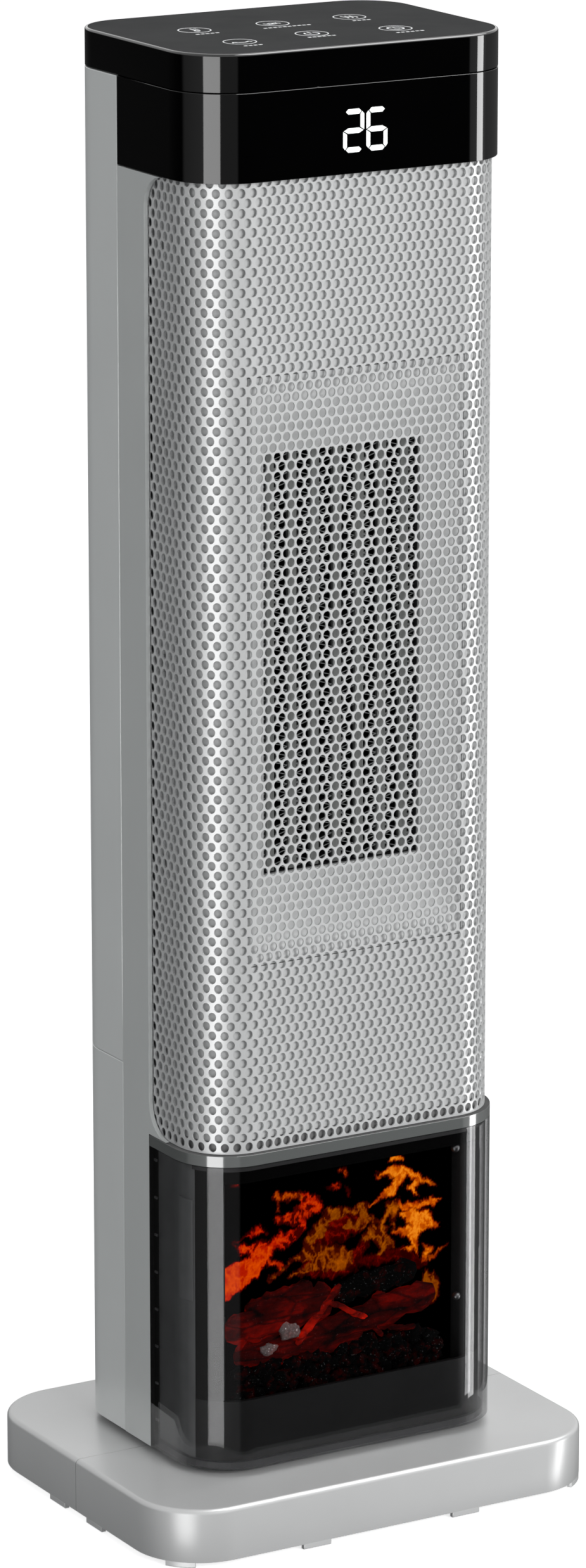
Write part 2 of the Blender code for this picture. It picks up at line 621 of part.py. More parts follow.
# --------------------------------------------------------------- heater, fan
def build_heater():
    mouth_y = -TOWER_HALF_Y + SKIN_INSET + 0.3 * MM
    throat_y = -42.5 * MM
    wide, tall = MOUTH_HALF
    narrow, short = OUTLET_HALF
    skin = 1.5 * MM
    frame_ring("outlet_funnel", [(wide, tall, mouth_y), (narrow, short, throat_y),
                                 (narrow, short, throat_y + 2.2 * MM),
                                 (narrow + skin, short + skin, throat_y + 2.2 * MM),
                                 (narrow + skin, short + skin, throat_y + 0.6 * MM),
                                 (wide, tall, mouth_y + 1.6 * MM)], "duct_grey")
    frame_y = throat_y + 2.5 * MM
    frame_back = frame_y + 14 * MM
    frame_ring("ptc_frame", [(narrow + 0.3 * MM, short + 0.3 * MM, frame_y),
                             (narrow + 3.5 * MM, short + 3.5 * MM, frame_y),
                             (narrow + 3.5 * MM, short + 3.5 * MM, frame_back),
                             (narrow + 0.3 * MM, short + 0.3 * MM, frame_back)], "black_plastic")
    pitch = 2 * narrow / HEATER_BARS
    bar = 4.2 * MM
    bar_y, fin_y, back_y = frame_y + 1.5 * MM, frame_y + 2.5 * MM, frame_y + 12.5 * MM
    outline = [(narrow, back_y), (-narrow, back_y), (-narrow, fin_y)]
    for i in range(HEATER_BARS):
        x = (i - (HEATER_BARS - 1) / 2) * pitch
        outline += [(x - bar / 2, fin_y), (x - bar / 2, bar_y), (x + bar / 2, bar_y),
                    (x + bar / 2, fin_y)]
    outline.append((narrow, fin_y))
    prism("ptc_core", outline, OUTLET_CENTRE_Z - short, OUTLET_CENTRE_Z + short, "heater_metal")
    top = OUTLET_CENTRE_Z + short + 3.5 * MM + GAP
    cutout = turned("thermal_cutout", [(7 * MM, top), (7 * MM, top + 5 * MM),
                                       (4 * MM, top + 5 * MM), (4 * MM, top + 8 * MM)],
                    "zinc_plate", centre=(22 * MM, frame_y + 7 * MM), sides=16)
    join(cutout, box("cutout_tab", (10 * MM, frame_y + 4 * MM, top),
                     (34 * MM, frame_y + 10 * MM, top + 1 * MM)))


def ribbon(name, path, thickness, low, high, material):
    """A bent plate that follows a path, with its thickness to the path's left."""
    left = []
    for i, point in enumerate(path):
        before = Vector(path[max(i - 1, 0)])
        after = Vector(path[min(i + 1, len(path) - 1)])
        along = (after - before).normalized()
        left.append((point[0] - along.y * thickness, point[1] + along.x * thickness))
    return wall(name, path, left, low, high, material)


def build_fan():
    low, high = FAN_BOTTOM - 2.7 * MM, FAN_TOP + 2.7 * MM
    duct_x = 43.5 * MM
    duct_y = -25.0 * MM
    scroll = [(duct_x, duct_y)]
    for i in range(9):
        turn = math.radians(-22 + 13 * i)
        radius = 45 * MM - 14.5 * MM * i / 8
        scroll.append((radius * math.cos(turn), FAN_Y + radius * math.sin(turn)))
    ribbon("scroll_housing", scroll, 1.6 * MM, low, high, "black_plastic")
    tongue = [(-31 * MM, 22 * MM), (-31.5 * MM, 10 * MM), (-38 * MM, 0), (-duct_x, -10 * MM),
              (-duct_x, duct_y)]
    ribbon("vortex_tongue", tongue, 1.6 * MM, low, high, "black_plastic")
    for name, bottom in (("fan_plate_bottom", low - GAP - 3 * MM), ("fan_plate_top", high + GAP)):
        plate = box(name, (-47 * MM, duct_y, bottom), (47 * MM, 50 * MM, bottom + 3 * MM),
                    "black_plastic")
        cut(plate, turned("hole_" + name, [(5 * MM, 0), (5 * MM, ABOVE_ALL)], centre=(0, FAN_Y), sides=16))
    wheel = turned("fan_wheel", [(FAN_RADIUS, FAN_BOTTOM), (FAN_RADIUS, FAN_BOTTOM + 2 * MM)],
                   "black_plastic", centre=(0, FAN_Y), sides=40)
    middle = (FAN_BOTTOM + FAN_TOP) / 2
    for i, level in enumerate((middle, FAN_TOP - 1 * MM)):
        disc = [(FAN_RADIUS, level - 1 * MM), (FAN_RADIUS, level + 1 * MM)]
        join(wheel, turned(f"wheel_disc_{i}", disc, centre=(0, FAN_Y), sides=40))
    for i in range(FAN_BLADES):
        turn = 2 * math.pi * i / FAN_BLADES
        blade = box(f"blade_{i}", (FAN_RADIUS - 7.5 * MM, -0.6 * MM, FAN_BOTTOM + 1 * MM),
                    (FAN_RADIUS - 0.6 * MM, 0.6 * MM, FAN_TOP - 1 * MM))
        lean = Matrix.Translation((FAN_RADIUS, 0, 0)) @ Matrix.Rotation(math.radians(28), 4, "Z") \
            @ Matrix.Translation((-FAN_RADIUS, 0, 0))
        blade.data.transform(Matrix.Translation((0, FAN_Y, 0)) @ Matrix.Rotation(turn, 4, "Z") @ lean)
        join(wheel, blade)
    cut(wheel, turned("wheel_bore", [(3.3 * MM, 0), (3.3 * MM, ABOVE_ALL)], centre=(0, FAN_Y), sides=14))
    put_origin(wheel, (0, FAN_Y, FAN_BOTTOM))
    motor_top = low - GAP - 3 * MM - GAP
    motor_low = motor_top - 28 * MM
    motor = turned("fan_motor", [(20 * MM, motor_low), (27 * MM, motor_low + 4 * MM),
                                 (27 * MM, motor_top - 3 * MM), (24 * MM, motor_top)],
                   "zinc_plate", centre=(0, FAN_Y), sides=28)
    cut(motor, turned("motor_socket", [(3.3 * MM, motor_top - 12 * MM), (3.3 * MM, ABOVE_ALL)],
                      centre=(0, FAN_Y), sides=14))
    bush_low = high + GAP + 3 * MM + GAP
    turned_ring("fan_bush", [(3.1 * MM, bush_low), (8 * MM, bush_low), (8 * MM, bush_low + 5 * MM),
                             (3.1 * MM, bush_low + 5 * MM)], "white_nylon", centre=(0, FAN_Y),
                sides=20)
    shaft = turned("fan_shaft", [(2.9 * MM, motor_top - 11 * MM), (2.9 * MM, bush_low + 6 * MM)],
                   "steel", centre=(0, FAN_Y), sides=14)
    put_origin(shaft, (0, FAN_Y, FAN_BOTTOM))


# --------------------------------------------------------------- flame effect
def build_flame():
    half = FLAME_HALF_X + 2 * MM
    low, high = FLAME_BOTTOM - 1.5 * MM, FLAME_TOP + 2 * MM
    back = 2.0 * MM
    shell = box("flame_box", (-half, -50 * MM, low), (half, back, high), "black_plastic")
    cut(shell, box("flame_hollow", (-FLAME_HALF_X, -60 * MM, low + 1.5 * MM),
                   (FLAME_HALF_X, back - 2 * MM, high - 2 * MM)))
    hole = [(4.0 * MM, 50 * MM), (4.0 * MM, 70 * MM)]
    cut(shell, turned("spindle_hole", hole, axis="X", centre=(SPINDLE_Y, SPINDLE_Z), sides=14))
    inner = FLAME_HALF_X - GAP
    floor = FLAME_BOTTOM + GAP
    box("flame_screen", (-inner, SCREEN_Y, floor), (inner, SCREEN_Y + 1.2 * MM, FLAME_TOP - GAP),
        "flame_film")
    bed = [(-56 * MM, floor), (56 * MM, floor), (56 * MM, 70 * MM)]
    for i in range(9):
        x = 46 * MM - 11.5 * MM * i
        bed.append((x, 80 * MM + 7 * MM * math.sin(2.4 * i)))
    bed.append((-56 * MM, 70 * MM))
    prism("fuel_bed", bed, -49 * MM, SCREEN_Y - GAP, "fuel_resin", axis="Y", centre=(0, 0))
    spindle = turned("flame_spindle", [(2.5 * MM, -54 * MM), (2.5 * MM, 66 * MM)], "steel",
                     axis="X", centre=(SPINDLE_Y, SPINDLE_Z), sides=12)
    for i in range(8):
        x = (-45 + 12.5 * i) * MM
        vane = box(f"vane_{i}", (x - 4 * MM, -11 * MM, -0.5 * MM), (x + 4 * MM, 11 * MM, 0.5 * MM))
        vane.data.transform(Matrix.Translation((0, SPINDLE_Y, SPINDLE_Z))
                            @ Matrix.Rotation(math.radians(45 * i), 4, "X"))
        join(spindle, vane)
    put_origin(spindle, (0, SPINDLE_Y, SPINDLE_Z))
    side = half + GAP
    motor = box("spindle_motor", (side, SPINDLE_Y - 8 * MM, SPINDLE_Z - 12 * MM),
                (side + 10.5 * MM, SPINDLE_Y + 12 * MM, SPINDLE_Z + 12 * MM), "zinc_plate")
    cut(motor, turned("spindle_socket", [(2.9 * MM, 50 * MM), (2.9 * MM, 67 * MM)], axis="X",
                      centre=(SPINDLE_Y, SPINDLE_Z), sides=12))
    board = box("flame_led_board", (-50 * MM, -37 * MM, floor), (50 * MM, -30 * MM, floor + 1.6 * MM),
                "board_green")
    join(board, merge_boxes("led_row", [((x * MM - 2.5 * MM, -36 * MM, floor + 1 * MM),
                                         (x * MM + 2.5 * MM, -31 * MM, floor + 3 * MM))
                                        for x in range(-40, 41, 16)]))


# -------------------------------------------------------- electronics, safety
def build_electronics():
    board = box("power_board", (-42 * MM, 28 * MM, 72 * MM), (42 * MM, 29.6 * MM, 165 * MM),
                "board_green")
    join(board, merge_boxes("board_parts", [((-36 * MM, 29 * MM, 80 * MM), (-12 * MM, 48 * MM, 104 * MM)),
                                            ((-4 * MM, 29 * MM, 84 * MM), (16 * MM, 44 * MM, 100 * MM)),
                                            ((-34 * MM, 29 * MM, 120 * MM), (-16 * MM, 42 * MM, 150 * MM)),
                                            ((6 * MM, 29 * MM, 116 * MM), (34 * MM, 40 * MM, 152 * MM))]))
    x, y = TIP_SWITCH
    low = TOWER_BOTTOM + 3.6 * MM
    housing = box("tip_switch", (x - 9 * MM, y - 9 * MM, low), (x + 9 * MM, y + 9 * MM, low + 30 * MM),
                  "black_plastic")
    cut(housing, box("tip_hollow", (x - 7.4 * MM, y - 20 * MM, low + 1.6 * MM),
                     (x + 7.4 * MM, y + 20 * MM, low + 28.4 * MM)))
    pin_z = low + 23 * MM
    pin_hole = [(1.6 * MM, x - 20 * MM), (1.6 * MM, x + 20 * MM)]
    cut(housing, turned("tip_pin_hole", pin_hole, axis="X", centre=(y, pin_z), sides=12))
    pendulum = turned("tip_pendulum", [(1.2 * MM, x - 8.6 * MM), (1.2 * MM, x + 8.6 * MM)],
                      "steel", axis="X", centre=(y, pin_z), sides=12)
    join(pendulum, box("pendulum_arm", (x - 1.5 * MM, y - 1 * MM, low + 9 * MM),
                       (x + 1.5 * MM, y + 1 * MM, pin_z)))
    join(pendulum, turned("pendulum_bob", [(4 * MM, low + 5 * MM), (4 * MM, low + 13 * MM)],
                          centre=(x, y), sides=14))
    put_origin(pendulum, (x, y, pin_z))


clear_scene()
PALETTE = make_materials()
build_base()
build_oscillation()
build_front_casing()
build_rear_casings()
build_rear_fittings()
build_cap()
build_front_covers()
build_heater()
build_fan()
build_flame()
build_electronics()
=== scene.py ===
"""Ceramic tower heater: detailed looks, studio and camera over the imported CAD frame.

Metres, +Z up. The front of the heater faces -Y.
"""
import math
import random

import bmesh
import bpy
from mathutils import Matrix, Vector, noise
from mathutils.geometry import delaunay_2d_cdt


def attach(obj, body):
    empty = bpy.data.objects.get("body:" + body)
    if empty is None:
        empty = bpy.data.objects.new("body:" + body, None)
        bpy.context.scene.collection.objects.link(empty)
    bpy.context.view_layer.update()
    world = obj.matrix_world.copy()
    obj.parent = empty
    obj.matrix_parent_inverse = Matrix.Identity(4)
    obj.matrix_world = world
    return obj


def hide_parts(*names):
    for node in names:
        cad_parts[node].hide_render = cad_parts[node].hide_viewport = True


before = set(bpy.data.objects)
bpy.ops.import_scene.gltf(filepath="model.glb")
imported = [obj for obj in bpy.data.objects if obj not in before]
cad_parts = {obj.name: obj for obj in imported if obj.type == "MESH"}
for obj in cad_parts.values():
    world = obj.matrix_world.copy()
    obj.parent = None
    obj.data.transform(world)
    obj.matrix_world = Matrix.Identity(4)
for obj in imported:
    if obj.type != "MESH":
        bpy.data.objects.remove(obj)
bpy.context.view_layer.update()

noise.seed_set(11)                      # noise_vector starts from the clock unless it is seeded

MM = 0.001

# ---------------------------------------------------------------- dimensions (mm)
HALF_X, HALF_Y = 79.5, 59.0
FRONT_RADIUS, REAR_RADIUS = 27.0, 24.0
SEAM_FRONT, SEAM_REAR = 12.85, 13.15
COVER_EDGE_Y = -10.7
CASING_LOW, TOP = 30.0, 660.0
WALL_THICK = 2.0
GRILLE_INSET, LINER_INSET = 2.4, 4.5    # from the casing's face inwards
BAND_LOW, BAND_HIGH = 605.15, 643.2
GRILLE_LOW, GRILLE_HIGH = 176.4, 604.85
TRIM_LOW, TRIM_HIGH = 171.15, 176.1
WINDOW_LOW, WINDOW_HIGH = 30.3, 170.85
MOUTH = (54.4, 260.1, 520.9)            # half width, bottom and top of the air outlet
FLAME_HOLE = (66.0, 61.0, 162.0)        # the same for the opening behind the window
BASE_HALF = (112.75, 88.0)
BASE_RADIUS = 32.0
BASE_TOP = 27.0
BASE_SEAM, HALF_SEAM_GAP = -1.0, 0.2
SHARP = 34.0                            # degrees; edges that bend more are drawn sharp


# -------------------------------------------------------------------- shaders
class Nodes:
    """Adds nodes to one tree and joins them."""

    def __init__(self, tree):
        self.tree = tree

    def node(self, kind, inputs=None, **settings):
        made = self.tree.nodes.new("ShaderNode" + kind)
        for key, value in settings.items():
            setattr(made, key, value)
        for key, value in (inputs or {}).items():
            if isinstance(value, bpy.types.NodeSocket):
                self.tree.links.new(value, made.inputs[key])
            else:
                made.inputs[key].default_value = value
        return made

    def ramp(self, value, stops):
        made = self.node("ValToRGB", {"Fac": value})
        points = made.color_ramp.elements
        while len(points) < len(stops):
            points.new(1.0)
        for point, (position, colour) in zip(points, stops):
            point.position = position
            point.color = (*colour, 1.0)
        return made.outputs["Color"]

    def math(self, operation, first, second):
        return self.node("Math", {0: first, 1: second}, operation=operation).outputs[0]

    def mix(self, factor, first, second):
        """One shader where factor is 0 and the other where it is 1."""
        return self.node("MixShader", {0: factor, 1: first, 2: second}).outputs[0]


class Shader(Nodes):
    """A node material that starts from one Principled BSDF."""

    def __init__(self, name, **sockets):
        self.material = bpy.data.materials.new(name)
        self.material.use_nodes = True
        super().__init__(self.material.node_tree)
        self.bsdf = self.tree.nodes["Principled BSDF"]
        self.output = self.tree.nodes["Material Output"]
        for socket, value in sockets.items():
            self.bsdf.inputs[socket.replace("_", " ")].default_value = value
        self.place = self.tree.nodes.new("ShaderNodeTexCoord").outputs["Object"]

    def noise(self, scale, detail=3.0, rough=0.55, place=None):
        inputs = {"Vector": place or self.place, "Scale": scale, "Detail": detail,
                  "Roughness": rough}
        return self.node("TexNoise", inputs).outputs["Fac"]

    def spread(self, value, low, high, start=0.3, end=0.7):
        """value, remapped from start..end to low..high."""
        inputs = {"Value": value, "From Min": start, "From Max": end, "To Min": low,
                  "To Max": high}
        return self.node("MapRange", inputs).outputs["Result"]

    def tone(self, source, colour, dark, light=1.0, socket="Base Color"):
        """Colours a socket from a darker to a lighter tint of one colour, by source."""
        stops = [(0.3, tinted(colour, dark)), (0.7, tinted(colour, light))]
        self.link(self.ramp(source, stops), socket)

    def stretched(self, scale):
        """The object's coordinates, scaled by a different factor along each axis."""
        return self.node("Mapping", {"Vector": self.place, "Scale": scale}).outputs["Vector"]

    def bump(self, height, strength, distance):
        inputs = {"Height": height, "Strength": strength, "Distance": distance}
        self.link(self.node("Bump", inputs).outputs["Normal"], "Normal")

    def link(self, value, socket):
        self.tree.links.new(value, self.bsdf.inputs[socket])


SKIN_DEPTH = 0.0001                     # how deep the fine grain of a moulded skin is, in metres
WHITE = (1.0, 1.0, 1.0, 1.0)


def tinted(colour, factor):
    return tuple(min(1.0, part * factor) for part in colour)


def paint(name, colour, roughness, metallic=0.0, specular=0.5, coat=0.0):
    """Satin paint or moulded skin: fine orange peel, faint tone and gloss changes."""
    made = Shader(name, Metallic=metallic, Specular_IOR_Level=specular, Coat_Weight=coat,
                  Coat_Roughness=0.08)
    made.tone(made.noise(26.0, 4.0), colour, 0.985, 1.015)
    made.link(made.spread(made.noise(90.0), roughness - 0.01, roughness + 0.01), "Roughness")
    made.bump(made.noise(700.0, 1.0), 0.012, SKIN_DEPTH)
    return made.material


def gloss(name, colour, roughness, specular=0.5):
    """Polished plastic with light smears that show only in its gloss."""
    made = Shader(name, Specular_IOR_Level=specular)
    made.tone(made.noise(40.0, 3.0), colour, 0.93, 1.07)
    made.link(made.spread(made.noise(12.0, 5.0), roughness, roughness + 0.03), "Roughness")
    made.bump(made.noise(300.0, 1.0), 0.01, SKIN_DEPTH)
    return made.material


def grained(name, colour, roughness, grain=900.0, specular=0.5):
    """Moulded plastic with a spark-eroded grain."""
    made = Shader(name, Specular_IOR_Level=specular)
    made.tone(made.noise(60.0), colour, 0.9, 1.1)
    made.link(made.spread(made.noise(200.0), roughness - 0.05, roughness + 0.05), "Roughness")
    made.bump(made.noise(grain, 3.0), 0.25, SKIN_DEPTH)
    return made.material


def metal(name, colour, roughness, stretch=(1.0, 1.0, 0.02), metallic=1.0):
    """Rolled or drawn metal with fine lines along one axis."""
    made = Shader(name, Metallic=metallic)
    lines = made.noise(1500.0, 2.0, place=made.stretched(stretch))
    made.tone(lines, colour, 0.85, 1.1)
    made.link(made.spread(lines, roughness - 0.06, roughness + 0.06), "Roughness")
    made.bump(lines, 0.08, SKIN_DEPTH)
    return made.material


def smoked(name, tint, reflect):
    """Clear dark plastic: what is behind shows through it, and its face mirrors the room."""
    made = Shader(name, Base_Color=(0.004, 0.004, 0.005, 1.0), Roughness=0.03)
    made.link(made.spread(made.noise(9.0, 4.0), 0.02, 0.05), "Roughness")
    facing = made.node("LayerWeight", {"Blend": 0.5}).outputs["Facing"]
    depth = made.ramp(facing, [(0.4, tint), (1.0, (0.10, 0.10, 0.10))])
    clear = made.node("BsdfTransparent", {"Color": depth}).outputs[0]
    mirror = made.node("BsdfGlossy", {"Color": WHITE, "Roughness": 0.03}).outputs[0]
    weight = made.node("Math", {0: made.math("POWER", facing, 4.0), 1: 1.0 - reflect, 2: reflect},
                       operation="MULTIPLY_ADD", use_clamp=True).outputs[0]
    made.tree.links.new(made.mix(weight, clear, mirror), made.output.inputs["Surface"])
    return made.material


def glowing(name, colour, strength):
    """Backlit print: even light with the faint mottling of a diffuser."""
    made = Shader(name, Base_Color=(*colour, 1.0), Roughness=0.4, Emission_Strength=strength)
    made.tone(made.noise(400.0), colour, 0.94, socket="Emission Color")
    return made.material


CASING = paint("casing_silver_paint", (0.66, 0.675, 0.67), 0.32, metallic=0.04)
SIDE = paint("side_silver_paint", (0.53, 0.545, 0.54), 0.32, metallic=0.04)
BASE_PAINT = paint("base_silver_paint", (0.52, 0.522, 0.522), 0.305, metallic=0.07)
GRILLE_PAINT = paint("grille_silver_paint", (0.53, 0.535, 0.535), 0.36, metallic=0.15)
# painted shade: the dark grey of the strip behind the grille's bottom row of holes
SKIN_FOOT_PAINTED_SHADE = paint("inner_skin_foot_painted_shade", (0.17, 0.17, 0.17), 0.5)
TRIM_EDGE = grained("trim_top_edge", (0.12, 0.12, 0.12), 0.7, specular=0.05)
STUD_METAL = metal("dark_stud_steel", (0.10, 0.10, 0.10), 0.42)
SKIN_PAINT = paint("inner_skin_plastic", (0.50, 0.505, 0.505), 0.5)
DUCT_PAINT = paint("duct_plastic", (0.56, 0.565, 0.565), 0.5)
TRIM_PAINT = paint("trim_grey_paint", (0.115, 0.121, 0.119), 0.10, specular=0.9, coat=1.0)
BLACK_GLOSS = gloss("black_gloss_plastic", (0.0008, 0.0008, 0.0009), 0.035)
PANEL_GREY = gloss("panel_grey_print", (0.115, 0.115, 0.116), 0.4, specular=0.0)
SMOKED = smoked("smoked_clear_plastic", (0.92, 0.92, 0.925), 0.0165)
BLACK_PLASTIC = grained("black_moulded_plastic", (0.012, 0.012, 0.013), 0.5)
# also used as painted shade, for the slab behind the heater fins
LINER_BLACK = grained("liner_black_plastic", (0.0006, 0.0006, 0.0006), 0.6, specular=0.02)
LINER_GREY = grained("liner_grey_plastic", (0.125, 0.126, 0.126), 0.55, specular=0.03)
BOSS_GREY = grained("liner_boss_plastic", (0.14, 0.141, 0.141), 0.55, specular=0.03)
PLINTH_GREY = grained("plinth_grey_plastic", (0.009, 0.009, 0.009), 0.5, specular=0.1)
LIP_GREY = grained("liner_lip_plastic", (0.026, 0.026, 0.026), 0.5, specular=0.15)
RIB_GREY = grained("rib_grey_plastic", (0.10, 0.10, 0.10), 0.45)
BOX_GREY = grained("flame_box_plastic", (0.018, 0.018, 0.018), 0.55, specular=0.1)
BAR_METAL = metal("heater_bar_aluminium", (0.17, 0.175, 0.17), 0.5, metallic=0.2)
FIN_METAL = metal("heater_fin_aluminium", (0.31, 0.32, 0.32), 0.4, (0.1, 1.0, 1.0), metallic=0.3)
# painted shade: a near-black copy of the fin metal for the depth of the fins and bars behind their
# bright front edges
FIN_SHADE = metal("heater_fin_painted_shade", (0.003, 0.003, 0.003), 0.6, (0.1, 1.0, 1.0), metallic=0.2)
STEEL = metal("zinc_plated_steel", (0.50, 0.50, 0.51), 0.36)
WHITE_PRINT = glowing("white_backlit_print", (0.86, 0.88, 0.87), 0.75)
ICON_PRINT = glowing("white_icon_print", (0.80, 0.81, 0.81), 0.35)


# --------------------------------------------------------------------- meshes
def add_object(name, data):
    made = bpy.data.objects.new(name, data)
    bpy.context.collection.objects.link(made)
    return made


def smooth(mesh, sharp=SHARP):
    mesh.shade_smooth()
    mesh.set_sharp_from_angle(angle=math.radians(sharp))


def rework(mesh, change=None, sharp=SHARP):
    """Runs change on the mesh as a bmesh, turns its faces outwards and smooths it."""
    work = bmesh.new()
    work.from_mesh(mesh)
    if change:
        change(work)
    bmesh.ops.recalc_face_normals(work, faces=work.faces)
    work.to_mesh(mesh)
    work.free()
    smooth(mesh, sharp)


def add_mesh(name, verts, faces, material, body="tower", sharp=SHARP, flip_check=True):
    """A piece made of a list of points in mm and faces, riding on one body."""
    mesh = bpy.data.meshes.new(name)
    mesh.from_pydata([(x * MM, y * MM, z * MM) for x, y, z in verts], [], faces)
    if flip_check:
        rework(mesh, sharp=sharp)
    else:
        smooth(mesh, sharp)
    mesh.materials.append(material)
    piece = add_object(name, mesh)
    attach(piece, body)
    return piece


class Wall:
    """An upright wall that wraps the front, or the rear, of a rounded rectangle.

    u is measured along the wall from the middle of its face, positive towards +X.
    """

    def __init__(self, half_x, half_y, radius, inset=0.0, rear=False):
        self.flat = half_x - radius
        self.turn = radius - inset
        self.reach = half_y - radius
        self.arc = self.turn * math.pi / 2
        self.side = 1 if rear else -1

    def at(self, u, depth=0.0):
        """x and y of the point at u, pushed inwards by depth."""
        far = abs(u)
        radius = self.turn - depth
        if far <= self.flat:
            x, y = far, self.reach + radius
        elif far <= self.flat + self.arc:
            angle = (far - self.flat) / self.turn
            x = self.flat + radius * math.sin(angle)
            y = self.reach + radius * math.cos(angle)
        else:
            x, y = self.flat + radius, self.reach - (far - self.flat - self.arc)
        return math.copysign(x, u), self.side * y

    def u_at_side(self, y):
        return self.flat + self.arc + self.reach - self.side * y

    def lines(self, start, end, extra=(), step=4.0):
        """The u values that a mesh needs between start and end, step degrees apart on turns."""
        count = round(90 / step)
        bends = [self.flat + self.arc * i / count for i in range(count + 1)]
        values = {start, end, *extra, *bends, *(-value for value in bends)}
        inside = sorted(value for value in values if start <= value <= end)
        kept = inside[:1]
        for value in inside[1:]:
            if value - kept[-1] > 0.02:
                kept.append(value)
        return kept


def sheet(name, wall, span, levels, depth, thick, material, holes=(), edge=0.0, body="tower"):
    """A curved sheet over span (u) and levels (z), with rectangular holes (u0, u1, z0, z1)."""
    marks = [value for hole in holes for value in hole[:2]]
    u_ends, z_ends = list(span), list(levels)
    if edge:
        marks += [span[0] + edge, span[1] - edge]
        z_ends += [levels[0] + edge, levels[1] - edge]
    us = wall.lines(*u_ends, extra=marks)
    zs = sorted({*z_ends, *(value for hole in holes for value in hole[2:])})
    verts, index, faces = [], {}, []

    def corner(i, j, inner):
        key = (i, j, inner)
        if key not in index:
            border = i in (0, len(us) - 1) or j in (0, len(zs) - 1)
            push = depth + (thick if inner else edge if border else 0.0)
            index[key] = len(verts)
            verts.append((*wall.at(us[i], push), zs[j]))
        return index[key]

    def solid(i, j):
        if not (0 <= i < len(us) - 1 and 0 <= j < len(zs) - 1):
            return False
        u, z = (us[i] + us[i + 1]) / 2, (zs[j] + zs[j + 1]) / 2
        return not any(h[0] < u < h[1] and h[2] < z < h[3] for h in holes)

    for i in range(len(us) - 1):
        for j in range(len(zs) - 1):
            if not solid(i, j):
                continue
            ring = [(i, j), (i + 1, j), (i + 1, j + 1), (i, j + 1)]
            faces.append([corner(*point, False) for point in ring])
            faces.append([corner(*point, True) for point in reversed(ring)])
            beside = [(i, j - 1), (i + 1, j), (i, j + 1), (i - 1, j)]
            for k, cell in enumerate(beside):
                if not solid(*cell):
                    a, b = ring[k], ring[(k + 1) % 4]
                    faces.append([corner(*a, True), corner(*b, True), corner(*b, False),
                                  corner(*a, False)])
    return add_mesh(name, verts, faces, material, body)


def outline(half_x, half_y, front_radius, rear_radius, inset=0.0, steps=14):
    """Points round a rounded rectangle, the same number at every inset."""
    points = []
    corners = ((1, -1, front_radius, -90), (1, 1, rear_radius, 0), (-1, 1, rear_radius, 90),
               (-1, -1, front_radius, 180))
    for side_x, side_y, radius, start in corners:
        for k in range(steps + 1):
            angle = math.radians(start + 90 * k / steps)
            reach = radius - inset
            points.append((side_x * (half_x - radius) + reach * math.cos(angle),
                           side_y * (half_y - radius) + reach * math.sin(angle)))
    return points


def tower_ring(inset, z):
    return [(x, y, z) for x, y in outline(HALF_X, HALF_Y, FRONT_RADIUS, REAR_RADIUS, inset)]


def stack(name, rings, material, body="tower", closed=False, sharp=SHARP):
    """Rings of points joined one to the next; the ends are filled unless it closes on itself."""
    count = len(rings[0])
    verts = [point for ring in rings for point in ring]
    faces = []
    last = len(rings) if closed else len(rings) - 1
    for k in range(last):
        low, high = k * count, (k + 1) % len(rings) * count
        for i in range(count):
            j = (i + 1) % count
            faces.append((low + i, low + j, high + j, high + i))
    if not closed:
        faces.append(tuple(reversed(range(count))))
        faces.append(tuple(range(len(verts) - count, len(verts))))
    return add_mesh(name, verts, faces, material, body, sharp)


def plate(name, loops, place, thick, material, edge=0.0, body="tower", grow=None):
    """A flat plate with holes: loops[0] is its outline and the others are holes.

    place turns (a, b, depth) into a point; grow returns a loop moved out by a distance.
    """
    verts, faces = [], []

    def face_layer(shapes, depth, flip):
        points, edges = [], []
        for shape in shapes:
            start = len(points)
            points += [Vector(point) for point in shape]
            edges += [(start + i, start + (i + 1) % len(shape)) for i in range(len(shape))]
        result = delaunay_2d_cdt(points, edges, [], 5, 1e-5)
        start = len(verts)
        verts.extend(place(point.x, point.y, depth) for point in result[0])
        for face in result[2]:
            ring = [start + i for i in face]
            faces.append(ring[::-1] if flip else ring)

    def band(low, high, low_depth, high_depth):
        start, count = len(verts), len(low)
        verts.extend(place(a, b, low_depth) for a, b in low)
        verts.extend(place(a, b, high_depth) for a, b in high)
        for i in range(count):
            j = (i + 1) % count
            faces.append((start + i, start + j, start + count + j, start + count + i))

    outer = [grow(loop, -edge if k == 0 else edge) for k, loop in enumerate(loops)] if edge else loops
    face_layer(outer, 0.0, False)
    face_layer(loops, thick, True)
    for small, full in zip(outer, loops):
        if edge:
            band(small, full, 0.0, edge)
        band(full, full, edge, thick)
    piece = add_mesh(name, verts, faces, material, body)
    rework(piece.data, lambda work: bmesh.ops.remove_doubles(work, verts=work.verts, dist=2e-6))
    return piece


def slab(name, low, high, material, edge=0.3):
    """A box with chamfered edges."""
    (x0, y0, z0), (x1, y1, z1) = low, high
    rings = []
    for inset, z in ((edge, z0), (0.0, z0 + edge), (0.0, z1 - edge), (edge, z1)):
        a, b, c, d = x0 + inset, x1 - inset, y0 + inset, y1 - inset
        e = edge
        rings.append([(a + e, c, z), (b - e, c, z), (b, c + e, z), (b, d - e, z), (b - e, d, z),
                      (a + e, d, z), (a, d - e, z), (a, c + e, z)])
    return stack(name, rings, material)


# ------------------------------------------------------------- cap and display
def arc_profile(radius, steps, inset, z):
    """Inset and z of points round a top edge of that radius."""
    points = []
    for k in range(steps + 1):
        angle = math.pi / 2 * k / steps
        points.append((inset + radius * (1 - math.cos(angle)), z - radius * (1 - math.sin(angle))))
    return points


